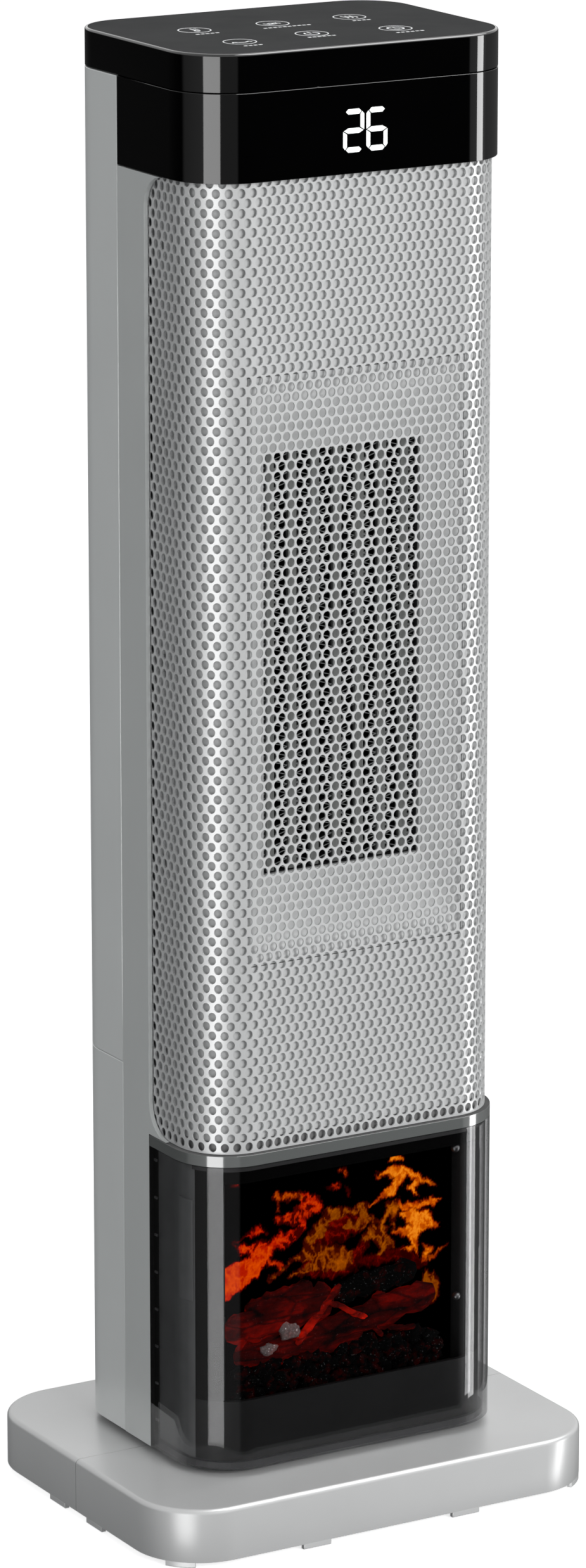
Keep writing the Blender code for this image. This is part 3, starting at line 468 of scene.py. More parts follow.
def build_cap():
    profile = [(0.3, 643.55), (0.0, 643.85)] + arc_profile(1.0, 5, 0.0, TOP)
    profile += [(1.3, TOP), (1.3, TOP - 0.9)]
    cap = stack("cap_shell", [tower_ring(*point) for point in profile], BLACK_GLOSS)
    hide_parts("top_cap")
    profile = [(1.5, TOP - 0.8), (1.5, TOP - 0.25), (1.65, TOP - 0.1)]
    panel = stack("touch_panel_glass", [tower_ring(*point) for point in profile], PANEL_GREY)
    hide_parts("touch_panel")
    wall = Wall(HALF_X, HALF_Y, FRONT_RADIUS)
    end = wall.u_at_side(SEAM_FRONT)
    band = sheet("display_band_gloss", wall, (-end, end), (BAND_LOW, BAND_HIGH), 0.0, 2.2,
                 BLACK_GLOSS, edge=0.08)
    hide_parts("display_band")


PRINT_LEVEL, PRINT_THICK = TOP - 0.11, 0.05


def strokes(name, paths, width):
    """Flat printed lines on the touch panel: each path is (points, closed) in x and y."""
    verts, faces = [], []
    for points, closed in paths:
        start, count = len(verts), len(points)
        for i, point in enumerate(points):
            before = Vector(points[i - 1] if closed or i else point)
            after = Vector(points[(i + 1) % count] if closed or i < count - 1 else point)
            along = (after - before).normalized()
            across = Vector((-along.y, along.x)) * width / 2
            here = Vector(point)
            for level in (PRINT_LEVEL, PRINT_LEVEL + PRINT_THICK):
                verts += [(*(here + across), level), (*(here - across), level)]
        last = count if closed else count - 1
        for i in range(last):
            a, b = start + 4 * i, start + 4 * ((i + 1) % count)
            faces += [(a, b, b + 1, a + 1), (a + 2, a + 3, b + 3, b + 2),
                      (a, a + 2, b + 2, b), (a + 1, b + 1, b + 3, a + 3)]
        if not closed:
            first, final = start, start + 4 * (count - 1)
            faces += [(first, first + 1, first + 3, first + 2),
                      (final, final + 2, final + 3, final + 1)]
    piece = add_mesh(name, verts, faces, ICON_PRINT)


def arc(centre, radius, start, end, steps=18):
    return [(centre[0] + radius * math.cos(math.radians(start + (end - start) * k / steps)),
             centre[1] + radius * math.sin(math.radians(start + (end - start) * k / steps)))
            for k in range(steps + 1)]


def build_icons():
    ring_radius = 7.1
    bar_pitch, bar_length = 2.4, 1.6

    def ring(centre, radius):
        return arc(centre, radius, 0, 360, 40)[:-1], True

    def shifted(centre, points):
        return [(centre[0] + a, centre[1] + b) for a, b in points], False

    def label(start, length):
        """A row of short bars in place of words."""
        x, y = start
        starts = [x + bar_pitch * i for i in range(round(length / bar_pitch))]
        return [([(left, y), (left + bar_length, y)], False) for left in starts]

    thermometer = (-41.3, 12.7)
    leaf = (-2.3, 13.1)
    waves = (36.4, 13.3)
    swing = (-41.3, -26.2)
    power = (-2.8, -21.0)
    clock = (36.1, -25.8)
    thick, thin, words = [], [], []
    for centre, start, length in (
            (thermometer, (-47.0, 1.2), 11.5), (leaf, (-13.0, 2.2), 23.0),
            (waves, (31.6, 2.4), 10.5), (swing, (-46.0, -38.0), 9.8),
            (power, (-10.2, -30.4), 15.5), (clock, (29.6, -37.4), 13.2)):
        thin.append(ring(centre, ring_radius))
        words += label(start, length)
    thick.append(ring((thermometer[0], thermometer[1] - 2.4), 1.1))
    thick.append(shifted(thermometer, [(0.0, -1.2), (0.0, 4.2)]))
    thin += [shifted(thermometer, [(1.3, b), (2.6, b)]) for b in (0.2, 1.8, 3.4)]
    thick.append((arc((leaf[0] - 0.6, leaf[1] + 1.6), 3.6, 190, 300, 12), False))
    thick.append((arc((leaf[0] - 0.2, leaf[1] - 2.6), 3.6, 20, 130, 12), False))
    thin.append(shifted(leaf, [(-3.2, -2.6), (2.4, 1.4)]))
    for a in (-2.2, 0.0, 2.2):
        wave = [(a + 0.7 * math.sin(t * 0.9), t * 1.0 - 3.0) for t in range(7)]
        thick.append(shifted(waves, wave))
    thick.append((arc((swing[0], swing[1] + 2.0), 4.6, 215, 325, 14), False))
    thick.append(shifted(swing, [(-4.6, -2.4), (-3.8, -0.6), (-2.2, -1.6)]))
    thick.append(shifted(swing, [(4.6, -2.4), (3.8, -0.6), (2.2, -1.6)]))
    thick.append((arc(power, 3.2, 125, 415, 26), False))
    thick.append(shifted(power, [(0.0, 0.6), (0.0, 4.2)]))
    thick.append(ring(clock, 3.6))
    thin.append(shifted(clock, [(0.0, 2.4), (0.0, 0.0), (1.8, -1.0)]))
    strokes("icon_rings", thin, 0.5)
    strokes("icon_marks", thick, 0.8)
    strokes("icon_word_bars", words, 1.3)


def digit_segments(x0, x1, z0, z1, lit):
    """Outlines, in x and z, of the lit segments of one seven-segment digit."""
    across, up = 2.2, 2.3
    half, middle, gap = up / 2, (z0 + z1) / 2, 0.3
    left, right = x0 + across, x1 - across

    def bar(z, tip):
        return [(x0 + tip, z), (left + 0.35, z + half), (right - 0.35, z + half), (x1 - tip, z),
                (right - 0.35, z - half), (left + 0.35, z - half)]

    def post(mirror, low):
        outer, inner = (x0, left - gap) if mirror else (x1, right + gap)
        mid_x = (outer + inner) / 2
        end = z0 if low else z1
        way = -1 if low else 1
        return [(outer, middle + way * 0.25), (outer, end - way * (up + 0.1)),
                (mid_x, end - way * (half + 0.1)), (inner, end - way * (up + 0.1)),
                (inner, middle + way * (half + 0.3))]

    shapes = {"a": bar(z1 - half, 1.35), "g": bar(middle, 0.35), "d": bar(z0 + half, 1.35),
              "b": post(False, False), "c": post(False, True), "f": post(True, False),
              "e": post(True, True)}
    return [shapes[key] for key in lit]


def build_digits():
    verts, faces = [], []
    low, high = 614.2, 632.8
    shapes = digit_segments(-9.8, 0.6, low, high, "abged")
    shapes += digit_segments(1.7, 12.1, low, high, "afgedc")
    for shape in shapes:
        start, count = len(verts), len(shape)
        verts += [(x, -HALF_Y - 0.04, z) for x, z in shape]
        verts += [(x, -HALF_Y + 0.02, z) for x, z in shape]
        faces.append(tuple(range(start, start + count)))
        faces.append(tuple(reversed(range(start + count, start + 2 * count))))
        for i in range(count):
            j = (i + 1) % count
            faces.append((start + i, start + j, start + count + j, start + count + i))
    digits = add_mesh("display_digits", verts, faces, WHITE_PRINT)


# --------------------------------------------------------------------- grille
ROW_FIRST, ROWS = 179.345, 100
ROW_STEP = (GRILLE_HIGH - ROW_FIRST) / ROWS
HOLE_HALF_WIDTH, HOLE_HALF_HEIGHT = 1.80, 2.06
SHEET_THICK = 0.8
UNDER_PANEL = 5.32                      # the sheet runs this far under the side panels
PANEL_CORNER = 15.0                     # radius of the side panels' cut corners


def column_places(wall, end):
    """u of the hole columns, half a pitch apart, wider round the left turn and on the sides."""
    turn = wall.flat + wall.arc
    places = [-end + 0.55]
    while places[-1] < end - 0.55:
        here = places[-1]
        if here < -turn or here > turn:
            step = 2.66
        elif here < -wall.flat + 2.0:
            step = 2.74
        else:
            step = 2.24
        places.append(here + step)
    return places


def outside(u, z, end, margin):
    """Whether a point is off the sheet, or closer than margin to its sides or foot."""
    return abs(u) > end - margin or z < GRILLE_LOW + margin


def grille_cell(places, column, row):
    """The border of one hole's cell and the hole's own outline, point for point."""
    u, z = places[column], ROW_FIRST + row * ROW_STEP
    left = places[column - 1]
    right = places[column + 1]
    half = ROW_STEP / 2
    low, high = z - half, z + half
    quarter_l, quarter_r = (left + u) / 2, (right + u) / 2
    border = [(right, z), (right, z + half / 2), (right, high), (quarter_r, high), (u, high),
              (quarter_l, high), (left, high), (left, z + half / 2), (left, z),
              (left, z - half / 2), (left, low), (quarter_l, low), (u, low), (quarter_r, low),
              (right, low), (right, z - half / 2)]
    hole = [(u + HOLE_HALF_WIDTH * math.cos(2 * math.pi * k / 16),
             z + HOLE_HALF_HEIGHT * math.sin(2 * math.pi * k / 16)) for k in range(16)]
    return border, hole


def grille_outline(end):
    """The border of the whole sheet, in u and z, with points close together all round."""
    low, high = GRILLE_LOW, GRILLE_HIGH
    points = []

    def run(start, stop, step):
        count = max(1, round(math.dist(start, stop) / step))
        for k in range(count):
            t = k / count
            points.append((start[0] + (stop[0] - start[0]) * t,
                           start[1] + (stop[1] - start[1]) * t))

    run((-end, low), (end, low), 1.3)
    run((end, low), (end, high), 2.1)
    run((end, high), (-end, high), 1.3)
    run((-end, high), (-end, low), 2.1)
    return points


def edge_keys(ring, closed=True):
    """The edges of a ring of point numbers, each with its smaller number first."""
    after = ring[1:] + ring[:1] if closed else ring[1:]
    return [(min(a, b), max(a, b)) for a, b in zip(ring, after)]


class Pattern:
    """The sheet laid flat: points in u and z, and tiles that each join three of them."""

    def __init__(self, places, end):
        self.places, self.end = places, end
        self.points, self.index, self.tiles = [], {}, []
        self.cells, self.hole_edges = set(), set()

    def point(self, u, z):
        key = (round(u, 4), round(z, 4))
        if key not in self.index:
            self.index[key] = len(self.points)
            self.points.append((u, z))
        return self.index[key]

    def columns(self, row):
        return range(1 + row % 2, len(self.places) - 1, 2)

    def add_cell(self, column, row):
        """One hole and the metal round it, unless the cell would reach the sheet's edge."""
        border, hole = grille_cell(self.places, column, row)
        whole = row < ROWS
        if not whole:                   # the sheet ends at the middle of the top row
            lower_half = [*range(8, 16), 0]
            border = [border[k] for k in lower_half]
            hole = [hole[k] for k in lower_half]
        if any(outside(u, z, self.end, 0.35) for u, z in border if z < GRILLE_HIGH - 0.1):
            return
        outer = [self.point(*place) for place in border]
        inner = [self.point(*place) for place in hole]
        for k in range(len(outer) if whole else len(outer) - 1):
            j = (k + 1) % len(outer)
            self.tiles += [(outer[k], outer[j], inner[j]), (outer[k], inner[j], inner[k])]
        self.hole_edges.update(edge_keys(inner, closed=whole))
        self.cells.add((column, row))

    def in_cell(self, u, z):
        row = round((z - ROW_FIRST) / ROW_STEP)
        if not 0 <= row <= ROWS:
            return False
        for column in self.columns(row):
            if self.places[column - 1] < u < self.places[column + 1]:
                return (column, row) in self.cells
        return False

    def ragged_edges(self):
        """The cells' outer edges, apart from those along the top of the sheet."""
        uses = {}
        for tile in self.tiles:
            for key in edge_keys(tile):
                uses[key] = uses.get(key, 0) + 1
        single = [key for key, count in uses.items() if count == 1 and key not in self.hole_edges]
        top = GRILLE_HIGH - 0.001
        return [key for key in single if not all(self.points[i][1] > top for i in key)]

    def add_rim(self):
        """Everything between the cells' ragged edge and the sheet's border."""
        corners, edges, lookup = [], [], {}
        for key in self.ragged_edges():
            for i in key:
                if i not in lookup:
                    lookup[i] = len(corners)
                    corners.append(Vector(self.points[i]))
            edges.append((lookup[key[0]], lookup[key[1]]))
        border = grille_outline(self.end)
        start, count = len(corners), len(border)
        corners += [Vector(place) for place in border]
        edges += [(start + i, start + (i + 1) % count) for i in range(count)]
        places, _, faces, *_ = delaunay_2d_cdt(corners, edges, [], 1, 1e-4)
        fresh = [self.point(*place) for place in places]
        for face in faces:
            centre = sum((Vector(places[i]) for i in face), Vector((0.0, 0.0))) / len(face)
            if not self.in_cell(*centre):
                self.tiles.append(tuple(fresh[i] for i in face))


def build_grille():
    """The perforated sheet: one flat pattern in u and z, wrapped round the front."""
    wall = Wall(HALF_X, HALF_Y, FRONT_RADIUS, GRILLE_INSET)
    end = wall.u_at_side(COVER_EDGE_Y + 0.1) + UNDER_PANEL
    pattern = Pattern(column_places(wall, end), end)
    for row in range(ROWS + 1):
        for column in pattern.columns(row):
            pattern.add_cell(column, row)
    pattern.add_rim()

    # three strips, so that no piece is too heavy
    cut = 22.0
    strips = {"grille_left": [], "grille_middle": [], "grille_right": []}
    for tile in pattern.tiles:
        u = sum(pattern.points[i][0] for i in tile) / len(tile)
        name = "grille_left" if u < -cut else "grille_middle" if u < cut else "grille_right"
        strips[name].append(tile)
    for name, tiles in strips.items():
        piece = wrap_tiles(name, wall, pattern.points, tiles)
        if name == "grille_middle":
            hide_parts("grille")


def wrap_tiles(name, wall, points, tiles):
    """Bends flat triangles onto the wall and gives them the sheet's thickness."""
    used = sorted({i for tile in tiles for i in tile})
    order = {i: k for k, i in enumerate(used)}
    count = len(used)
    verts = []
    for depth in (0.0, SHEET_THICK):
        verts += [(*wall.at(points[i][0], depth), points[i][1]) for i in used]
    faces, seen = [], {}
    for tile in tiles:
        ring = [order[i] for i in tile]
        a, b, c = (points[i] for i in tile[:3])
        if (b[0] - a[0]) * (c[1] - a[1]) - (b[1] - a[1]) * (c[0] - a[0]) < 0:
            ring.reverse()
        faces.append(ring)
        faces.append([i + count for i in reversed(ring)])
        for k in range(len(ring)):
            a, b = ring[k], ring[(k + 1) % len(ring)]
            seen[(a, b)] = seen.get((a, b), 0) + 1
    for a, b in seen:
        if (b, a) not in seen:
            faces.append((b, a, a + count, b + count))
    return add_mesh(name, verts, faces, GRILLE_PAINT, sharp=40.0, flip_check=False)


# --------------------------------------------------------------- front casing
def side_outline():
    """The side panel in y and z, with the grille's two rounded corners cut into it."""
    edge, low, high = COVER_EDGE_Y + 0.4, 176.5, 604.7
    inner = edge - PANEL_CORNER
    points = [(SEAM_FRONT, CASING_LOW), (SEAM_FRONT, high), (inner, high)]
    points += arc((inner, high - PANEL_CORNER), PANEL_CORNER, 90, 0, 14)[1:]
    points += arc((inner, low + PANEL_CORNER), PANEL_CORNER, 0, -90, 14)
    points += [(edge, low), (edge, CASING_LOW)]
    return points


def grown(loop, distance):
    """The loop with its points moved outwards by a distance, or inwards if it is negative."""
    area = sum(a[0] * b[1] - b[0] * a[1] for a, b in zip(loop, loop[1:] + loop[:1]))
    sign = 1 if area > 0 else -1
    moved = []
    count = len(loop)
    for i, point in enumerate(loop):
        before, after = Vector(loop[i - 1]), Vector(loop[(i + 1) % count])
        here = Vector(point)
        first = (here - before).normalized()
        second = (after - here).normalized()
        out = (Vector((first.y, -first.x)) + Vector((second.y, -second.x))) * sign
        out.normalize()
        scale = 1 / max(0.5, abs(out.dot(Vector((first.y, -first.x)))))
        moved.append(tuple(here + out * distance * scale))
    return moved


def repaint(piece, material, chosen):
    """Gives another material to the faces that chosen(centre, normal) picks."""
    piece.data.materials.append(material)
    for face in piece.data.polygons:
        if chosen(face.center / MM, face.normal):
            face.material_index = 1


def build_front_casing():
    first = None
    for side, name in ((-1, "left"), (1, "right")):
        def place(a, b, depth, side=side):
            return side * (HALF_X - depth), a, b

        piece = plate(f"side_panel_{name}", [side_outline()], place, WALL_THICK, SIDE)
        repaint(piece, LINER_BLACK,     # its front edge, beside the window
                lambda centre, normal: normal.y < -0.9 and centre.z < TRIM_LOW)
        first = first or piece
    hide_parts("front_casing")

    skin_wall = Wall(HALF_X, HALF_Y, FRONT_RADIUS, LINER_INSET)
    end = skin_wall.u_at_side(-8.3)
    holes = [(-MOUTH[0], MOUTH[0], MOUTH[1], MOUTH[2])]
    slot = skin_wall.u_at_side(-18.0)
    half_width, half_height = 1.4, 4.0
    for z in (213.5, 301.5, 391.5, 485.3, 575.6):
        for centre in (-slot, slot):
            holes.append((centre - half_width, centre + half_width, z - half_height,
                          z + half_height))
    skin = sheet("inner_skin", skin_wall, (-end, end), (181.7, 604.6), 0.0, WALL_THICK,
                 SKIN_PAINT, holes)
    # a dark grey strip behind the bottom row of holes: painted shade, in place of the lighter inner
    # skin
    foot = sheet("inner_skin_foot", skin_wall, (-end, end), (176.6, 181.6), 0.3, 1.6, SKIN_FOOT_PAINTED_SHADE)


def build_window():
    wall = Wall(HALF_X, HALF_Y, FRONT_RADIUS)
    end = wall.u_at_side(COVER_EDGE_Y)
    cover = sheet("window_smoked", wall, (-end, end), (WINDOW_LOW, WINDOW_HIGH), 0.0, WALL_THICK,
                  SMOKED)
    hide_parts("window_cover")
    trim = sheet("window_trim_strip", wall, (-end, end), (TRIM_LOW, TRIM_HIGH), 0.0, 4.2,
                 TRIM_PAINT, edge=0.03)
    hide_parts("window_trim")
    repaint(trim, TRIM_EDGE, lambda centre, normal: normal.z > 0.9)
    build_liner()


def build_liner():
    """The dark parts that show through the smoked window, round its flame opening."""
    liner = Wall(HALF_X, HALF_Y, FRONT_RADIUS, LINER_INSET)
    bend = liner.flat + liner.arc * 0.76
    low, high = 30.2, 171.0
    half, hole_low, hole_high = FLAME_HOLE
    front = sheet("liner_front", liner, (-bend, bend), (hole_low, high), 0.05, 1.9, LINER_BLACK,
                  [(-half, half, hole_low, hole_high)])
    for name, levels, depth, material in (
            ("liner_plinth", (low, hole_low - 0.05), 0.0, PLINTH_GREY),
            ("liner_lip", (168.2, high - 0.1), -2.0, LIP_GREY)):
        piece = sheet(name, liner, (-bend, bend), levels, depth, WALL_THICK, material)
    side_end, boss_end = liner.u_at_side(-10.4), liner.u_at_side(-30.0)
    nubs, nub_first, nub_pitch, nub_half = 8, 42.6, 17.39, 0.55
    for side, name in ((-1, "left"), (1, "right")):
        def across(start, stop, side=side):
            return sorted((side * start, side * stop))

        piece = sheet(f"liner_side_{name}", liner, across(bend + 0.05, side_end), (low, high),
                      0.0, WALL_THICK, LINER_GREY, edge=0.3)
        piece = sheet(f"liner_boss_{name}", liner, across(bend + 1.0, boss_end), (106.0, 153.0),
                      -0.9, 0.85, BOSS_GREY, edge=0.3)
        inner, outer = across(71.0, 72.5)
        channel = slab(f"liner_channel_{name}", (inner, -10.2, 30.6), (outer, 12.0, high - 0.1),
                       LINER_BLACK)
        inner, outer = across(76.6, 77.3)
        for k in range(nubs):
            z = nub_first + nub_pitch * k
            nub = slab(f"liner_nub_{name}_{k + 1}", (inner, -12.9, z - nub_half),
                       (outer, -10.5, z + nub_half), RIB_GREY, edge=0.1)


# ------------------------------------------------------------------ rear shell
def rounded_slot(centre, half_width, radius):
    """A slot with round ends, lengthwise along the first axis."""
    straight = half_width - radius
    a, b = centre
    return arc((a + straight, b), radius, -90, 90, 8) + arc((a - straight, b), radius, 90, 270, 8)


def carve(piece, cutters):
    """Subtracts the cutters, which are then removed."""
    for k, cutter in enumerate(cutters):
        step = piece.modifiers.new(f"cut_{k}", "BOOLEAN")
        step.operation = "DIFFERENCE"
        step.solver = "EXACT"
        step.object = cutter
    bpy.context.view_layer.update()
    mesh = bpy.data.meshes.new_from_object(
        piece.evaluated_get(bpy.context.evaluated_depsgraph_get()))
    piece.modifiers.clear()
    piece.data = mesh
    for cutter in cutters:
        bpy.data.objects.remove(cutter)
    smooth(mesh)


def drum(name, centre, radii, material=BLACK_PLASTIC, sides=28):
    """A turned piece with its axis along Y: centre is x and z, radii is a list of (radius, y)."""
    rings = []
    for radius, y in radii:
        angles = [2 * math.pi * k / sides for k in range(sides)]
        rings.append([(centre[0] + radius * math.cos(angle), y,
                       centre[1] + radius * math.sin(angle)) for angle in angles])
    return stack(name, rings, material)


def build_rear():
    wall = Wall(HALF_X, HALF_Y, REAR_RADIUS, rear=True)
    end = wall.u_at_side(SEAM_REAR)
    split, half_gap = 203.5, 0.15
    half, low, high, play = 46.0, 250.0, 540.0, 0.4
    upper = sheet("rear_casing_upper_shell", wall, (-end, end), (split + half_gap, BAND_HIGH),
                  0.0, WALL_THICK, CASING, [(-half, half, low, high)], edge=0.25)
    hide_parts("rear_casing_upper")
    lower = sheet("rear_casing_lower_shell", wall, (-end, end), (CASING_LOW, split - half_gap),
                  0.0, WALL_THICK, CASING, edge=0.25)
    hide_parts("rear_casing_lower")
    screw_holes = [drum(f"screw_cut_{x}_{z}", (x, z), [(4.0, 50.0), (4.0, 58.2), (4.8, 60.0)])
                   for x in (-50.0, 50.0) for z in (180.0, 622.0)]
    carve(upper, [screw_holes[1], screw_holes[3]])
    gland_cut = drum("gland_cut", (-40.0, 52.0), [(6.0, 50.0), (6.0, 61.0)])
    switch_cut = slab("switch_cut", (27.0, 50.0, 81.2), (49.0, 62.0, 98.8), BLACK_PLASTIC)
    carve(lower, [screw_holes[0], screw_holes[2], gland_cut, switch_cut])

    slots = [rounded_slot((side * 20.5, 395.0 + 12.0 * k), 18.0, 2.75)
             for k in range(-11, 12) for side in (-1, 1)]
    left, right, bottom, top = play - half, half - play, low + play, high - play
    edge = [(left, bottom), (right, bottom), (right, top), (left, top)]

    def place(a, b, depth):
        return a, HALF_Y - depth, b

    cover = plate("filter_cover_grid", [edge] + slots, place, WALL_THICK, CASING, 0.35,
                  body="filter_cover", grow=grown)
    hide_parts("filter_cover")


# ------------------------------------------------------------------------ base
def base_rings():
    """The closed section of the base, as rings from its foot round the top to the inside."""
    edge_radius, hub_radius = 2.3, 36.0
    inset, inside_top = 2.5, 24.0

    def ring(inset, z):
        return [(x, y, z) for x, y in outline(*BASE_HALF, BASE_RADIUS, BASE_RADIUS, inset)]

    def circle(z):
        points = []
        for x, y in outline(*BASE_HALF, BASE_RADIUS, BASE_RADIUS):
            angle = math.atan2(y / BASE_HALF[1], x / BASE_HALF[0])
            points.append((hub_radius * math.cos(angle), hub_radius * math.sin(angle), z))
        return points

    rings = [ring(inset, 2.7), ring(0.2, 2.5), ring(0.0, 2.8)]
    rings += [ring(*place) for place in arc_profile(edge_radius, 6, 0.0, BASE_TOP)]
    return rings + [circle(BASE_TOP), circle(inside_top), ring(inset, inside_top)]


def build_base():
    tab_half, tab_levels = 7.0, (0.1, 2.9)
    for name, way, node in (("base_front_shell", -1, "base_front_half"),
                            ("base_rear_shell", 1, "base_rear_half")):
        def halve(work, way=way):
            seam = (BASE_SEAM + way * HALF_SEAM_GAP) * MM
            found = bmesh.ops.bisect_plane(work, geom=[*work.verts, *work.edges, *work.faces],
                                           plane_co=(0, seam, 0), plane_no=(0, -way, 0),
                                           clear_outer=True)
            rim = [item for item in found["geom_cut"] if isinstance(item, bmesh.types.BMEdge)]
            bmesh.ops.edgeloop_fill(work, edges=rim)

        piece = stack(name, base_rings(), BASE_PAINT, "base", closed=True)
        rework(piece.data, halve)
        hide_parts(node)
        wall = Wall(*BASE_HALF, BASE_RADIUS, 0.1, rear=way > 0)
        middle = wall.flat + wall.arc / 2
        side = wall.u_at_side(way * 17.0)
        for k, u in enumerate((-side, -middle, -38.5, 38.5, middle, side)):
            tab = sheet(f"{name}_tab_{k + 1}", wall, (u - tab_half, u + tab_half), tab_levels,
                        0.0, 2.4, BASE_PAINT, edge=0.35, body="base")


# -------------------------------------------------------------- heater element
def fold(name, corners, span, thick, material):
    """A folded strip through the corners (x, z), as deep as span."""
    verts, faces = [], []
    for x, z in corners:
        for y in span:
            verts += [(x, y, z), (x, y, z + thick)]
    final = 4 * (len(corners) - 1)
    for a in range(0, final, 4):
        b = a + 4
        faces += [(a, b, b + 2, a + 2), (a + 1, a + 3, b + 3, b + 1), (a, a + 1, b + 1, b),
                  (a + 2, b + 2, b + 3, a + 3)]
    faces += [(0, 2, 3, 1), (final, final + 1, final + 3, final + 2)]
    piece = add_mesh(name, verts, faces, material)


def build_heater():
    """Seven ceramic bars in aluminium cases, with folded fins between them. Only their front edges
    are bright metal; the depth behind them and a slab at the back are painted shade.
    """
    bars, half_bar, half_width = 7, 2.1, 39.5
    pitch = 2 * half_width / bars
    low, high = 297.0, 484.0
    core = None
    for k in range(bars):
        x = (k - bars // 2) * pitch
        bar = slab(f"ptc_bar_{k + 1}", (x - half_bar, -38.5, low), (x + half_bar, -36.3, high),
                   BAR_METAL, edge=0.25)
        core = core or bar
        # the rest of each bar's depth, behind its front face: painted shade
        rest = slab(f"ptc_bar_painted_shade_{k + 1}", (x - 2.0, -36.2, low), (x + 2.0, -27.6, high),
                    FIN_SHADE, edge=0.2)
    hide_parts("ptc_core")
    for k in range(bars + 1):
        start = -half_width if k == 0 else (k - 4) * pitch + half_bar
        stop = half_width if k == bars else (k - 3) * pitch - half_bar
        rise = 2.1 * (stop - start) / (pitch - 2 * half_bar)
        count = int((high - low - 0.6) / rise)
        corners = [(start if (step + k) % 2 == 0 else stop, low + 0.3 + step * rise)
                   for step in range(count + 1)]
        fold(f"ptc_fin_edges_{k + 1}", corners, (-37.6, -37.1), 0.26, FIN_METAL)
        # the fins behind their bright edges: painted shade
        fold(f"ptc_fins_painted_shade_{k + 1}", corners, (-37.0, -28.2), 0.12, FIN_SHADE)
    # a black slab behind the fins: painted shade
    back = slab("ptc_backing_painted_shade", (-39.4, -27.5, low + 0.1), (39.4, -27.0, high - 0.1), LINER_BLACK,
                edge=0.1)


# ------------------------------------------------------------------------ fire
# Tapered tongues: strength, how amber, then x, z and half width along each one.
FLAMES = (
    # left body, its arm and the curl above it
    (0.68, 0.1, ((-66, 109, 8), (-56, 113, 7), (-46, 117, 6), (-38, 123, 4))),
    (0.64, 0.05, ((-55, 129, 0), (-50, 127, 2), (-42, 125, 4), (-35, 126, 3))),
    (0.56, 0.05, ((-55, 130, 0), (-43, 134, 1), (-42, 134, 2), (-38, 133, 1))),
    (0.6, 0.2, ((-40, 120, 2), (-34, 118, 2), (-30, 115, 1))),
    # left swirl
    (0.56, 0.05, ((-36, 126, 3), (-28, 127, 4), (-20, 131, 2), (-19, 140, 2))),
    (0.6, 0.05, ((-29, 127, 3), (-31, 133, 0))),
    (0.62, 0.6, ((-31, 142, 1), (-32, 148, 2), (-26, 147, 2), (-20, 146, 2))),
    (0.6, 0.1, ((-20, 146, 2), (-14, 142, 4), (-9, 138, 1))),
    (0.6, 0.15, ((-31, 137, 2), (-24, 137, 3), (-17, 140, 4))),
    # net in the middle
    (0.5, 0.9, ((-36, 110, 1), (-31, 113, 1), (-24, 117, 1), (-16, 119, 4), (-8, 117, 5),
                (1, 115, 4))),
    (0.5, 0.9, ((-25, 110, 1), (-19, 111, 2), (-12, 113, 3), (-4, 113, 5), (4, 112, 4),
                (7, 116, 1))),
    (0.5, 0.95, ((-18, 120, 2), (-14, 126, 3), (-8, 130, 4), (-5, 135, 3), (3, 135, 2),
                 (9, 135, 2), (14, 136, 2))),
    (0.48, 0.95, ((3, 128, 2), (10, 129, 3), (13, 134, 2))),
    (0.5, 0.9, ((11, 125, 1), (15, 128, 1), (11, 131, 2))),
    # web on the right
    (0.54, 0.95, ((12, 120, 1), (17, 123, 3), (18, 127, 1), (20, 121, 3), (25, 115, 2),
                  (20, 112, 1))),
    (0.58, 0.95, ((28, 115, 1), (24, 121, 1), (22, 126, 2), (25, 131, 2), (27, 134, 3))),
    (0.58, 0.9, ((29, 133, 3), (29, 128, 1), (28, 122, 1), (31, 122, 1))),
    (0.5, 0.9, ((14, 131, 1), (20, 128, 1), (25, 124, 1))),
    # crown
    (0.9, 0.85, ((20, 149, 1), (26, 150, 2), (33, 149, 3), (40, 146, 2), (46, 142, 1),
                 (51, 139, 0))),
    (0.9, 0.85, ((32, 147, 3), (28, 142, 3), (23, 140, 1), (16, 136, 1))),
    (0.88, 0.85, ((42, 145, 2), (38, 141, 2), (40, 138, 1), (42, 136, 0))),
    (0.85, 0.85, ((25, 155, 0), (29, 156, 2), (33, 155, 1))),
    # lick and star below it
    (0.8, 0.7, ((30, 136, 1), (35, 132, 2), (43, 132, 2), (49, 132, 2), (54, 133, 0))),
    (0.92, 0.85, ((32, 129, 1), (38, 127, 4), (43, 124, 5), (53, 120, 0))),
    (0.92, 0.85, ((42, 122, 3), (34, 121, 2), (28, 121, 1))),
    (0.9, 0.85, ((39, 121, 3), (40, 114, 2), (41, 108, 0))),
    (0.85, 0.85, ((40, 113, 2), (36, 112, 2), (33, 112, 0))),
    (0.8, 0.85, ((44, 114, 0), (47, 110, 2), (43, 105, 1))),
    (0.7, 0.8, ((47, 106, 1), (52, 108, 1), (57, 111, 0))),
    (0.5, 0.95, ((45, 99, 1), (48, 95, 4), (48, 89, 5))),
    # sparks
    (0.55, 0.55, ((-1, 155, 1), (3, 155, 1), (4, 153, 1))),
    (0.55, 0.2, ((-6, 148, 1), (-1, 148, 1))),
    (0.35, 0.2, ((3, 147, 0), (5, 144, 1))),
    (0.35, 0.1, ((-55, 157, 1), (-53, 157, 1))),
    (0.5, 0.8, ((27, 159, 0), (29, 160, 1))),
    # dim red between the tongues
    (0.25, 0.05, ((-12, 126, 5), (0, 128, 7), (10, 131, 5))),
    (0.25, 0.05, ((-16, 112, 4), (-4, 110, 5), (6, 110, 4), (12, 118, 3))),
    (0.22, 0.05, ((10, 110, 2), (20, 110, 3), (32, 111, 3), (42, 104, 3))),
)


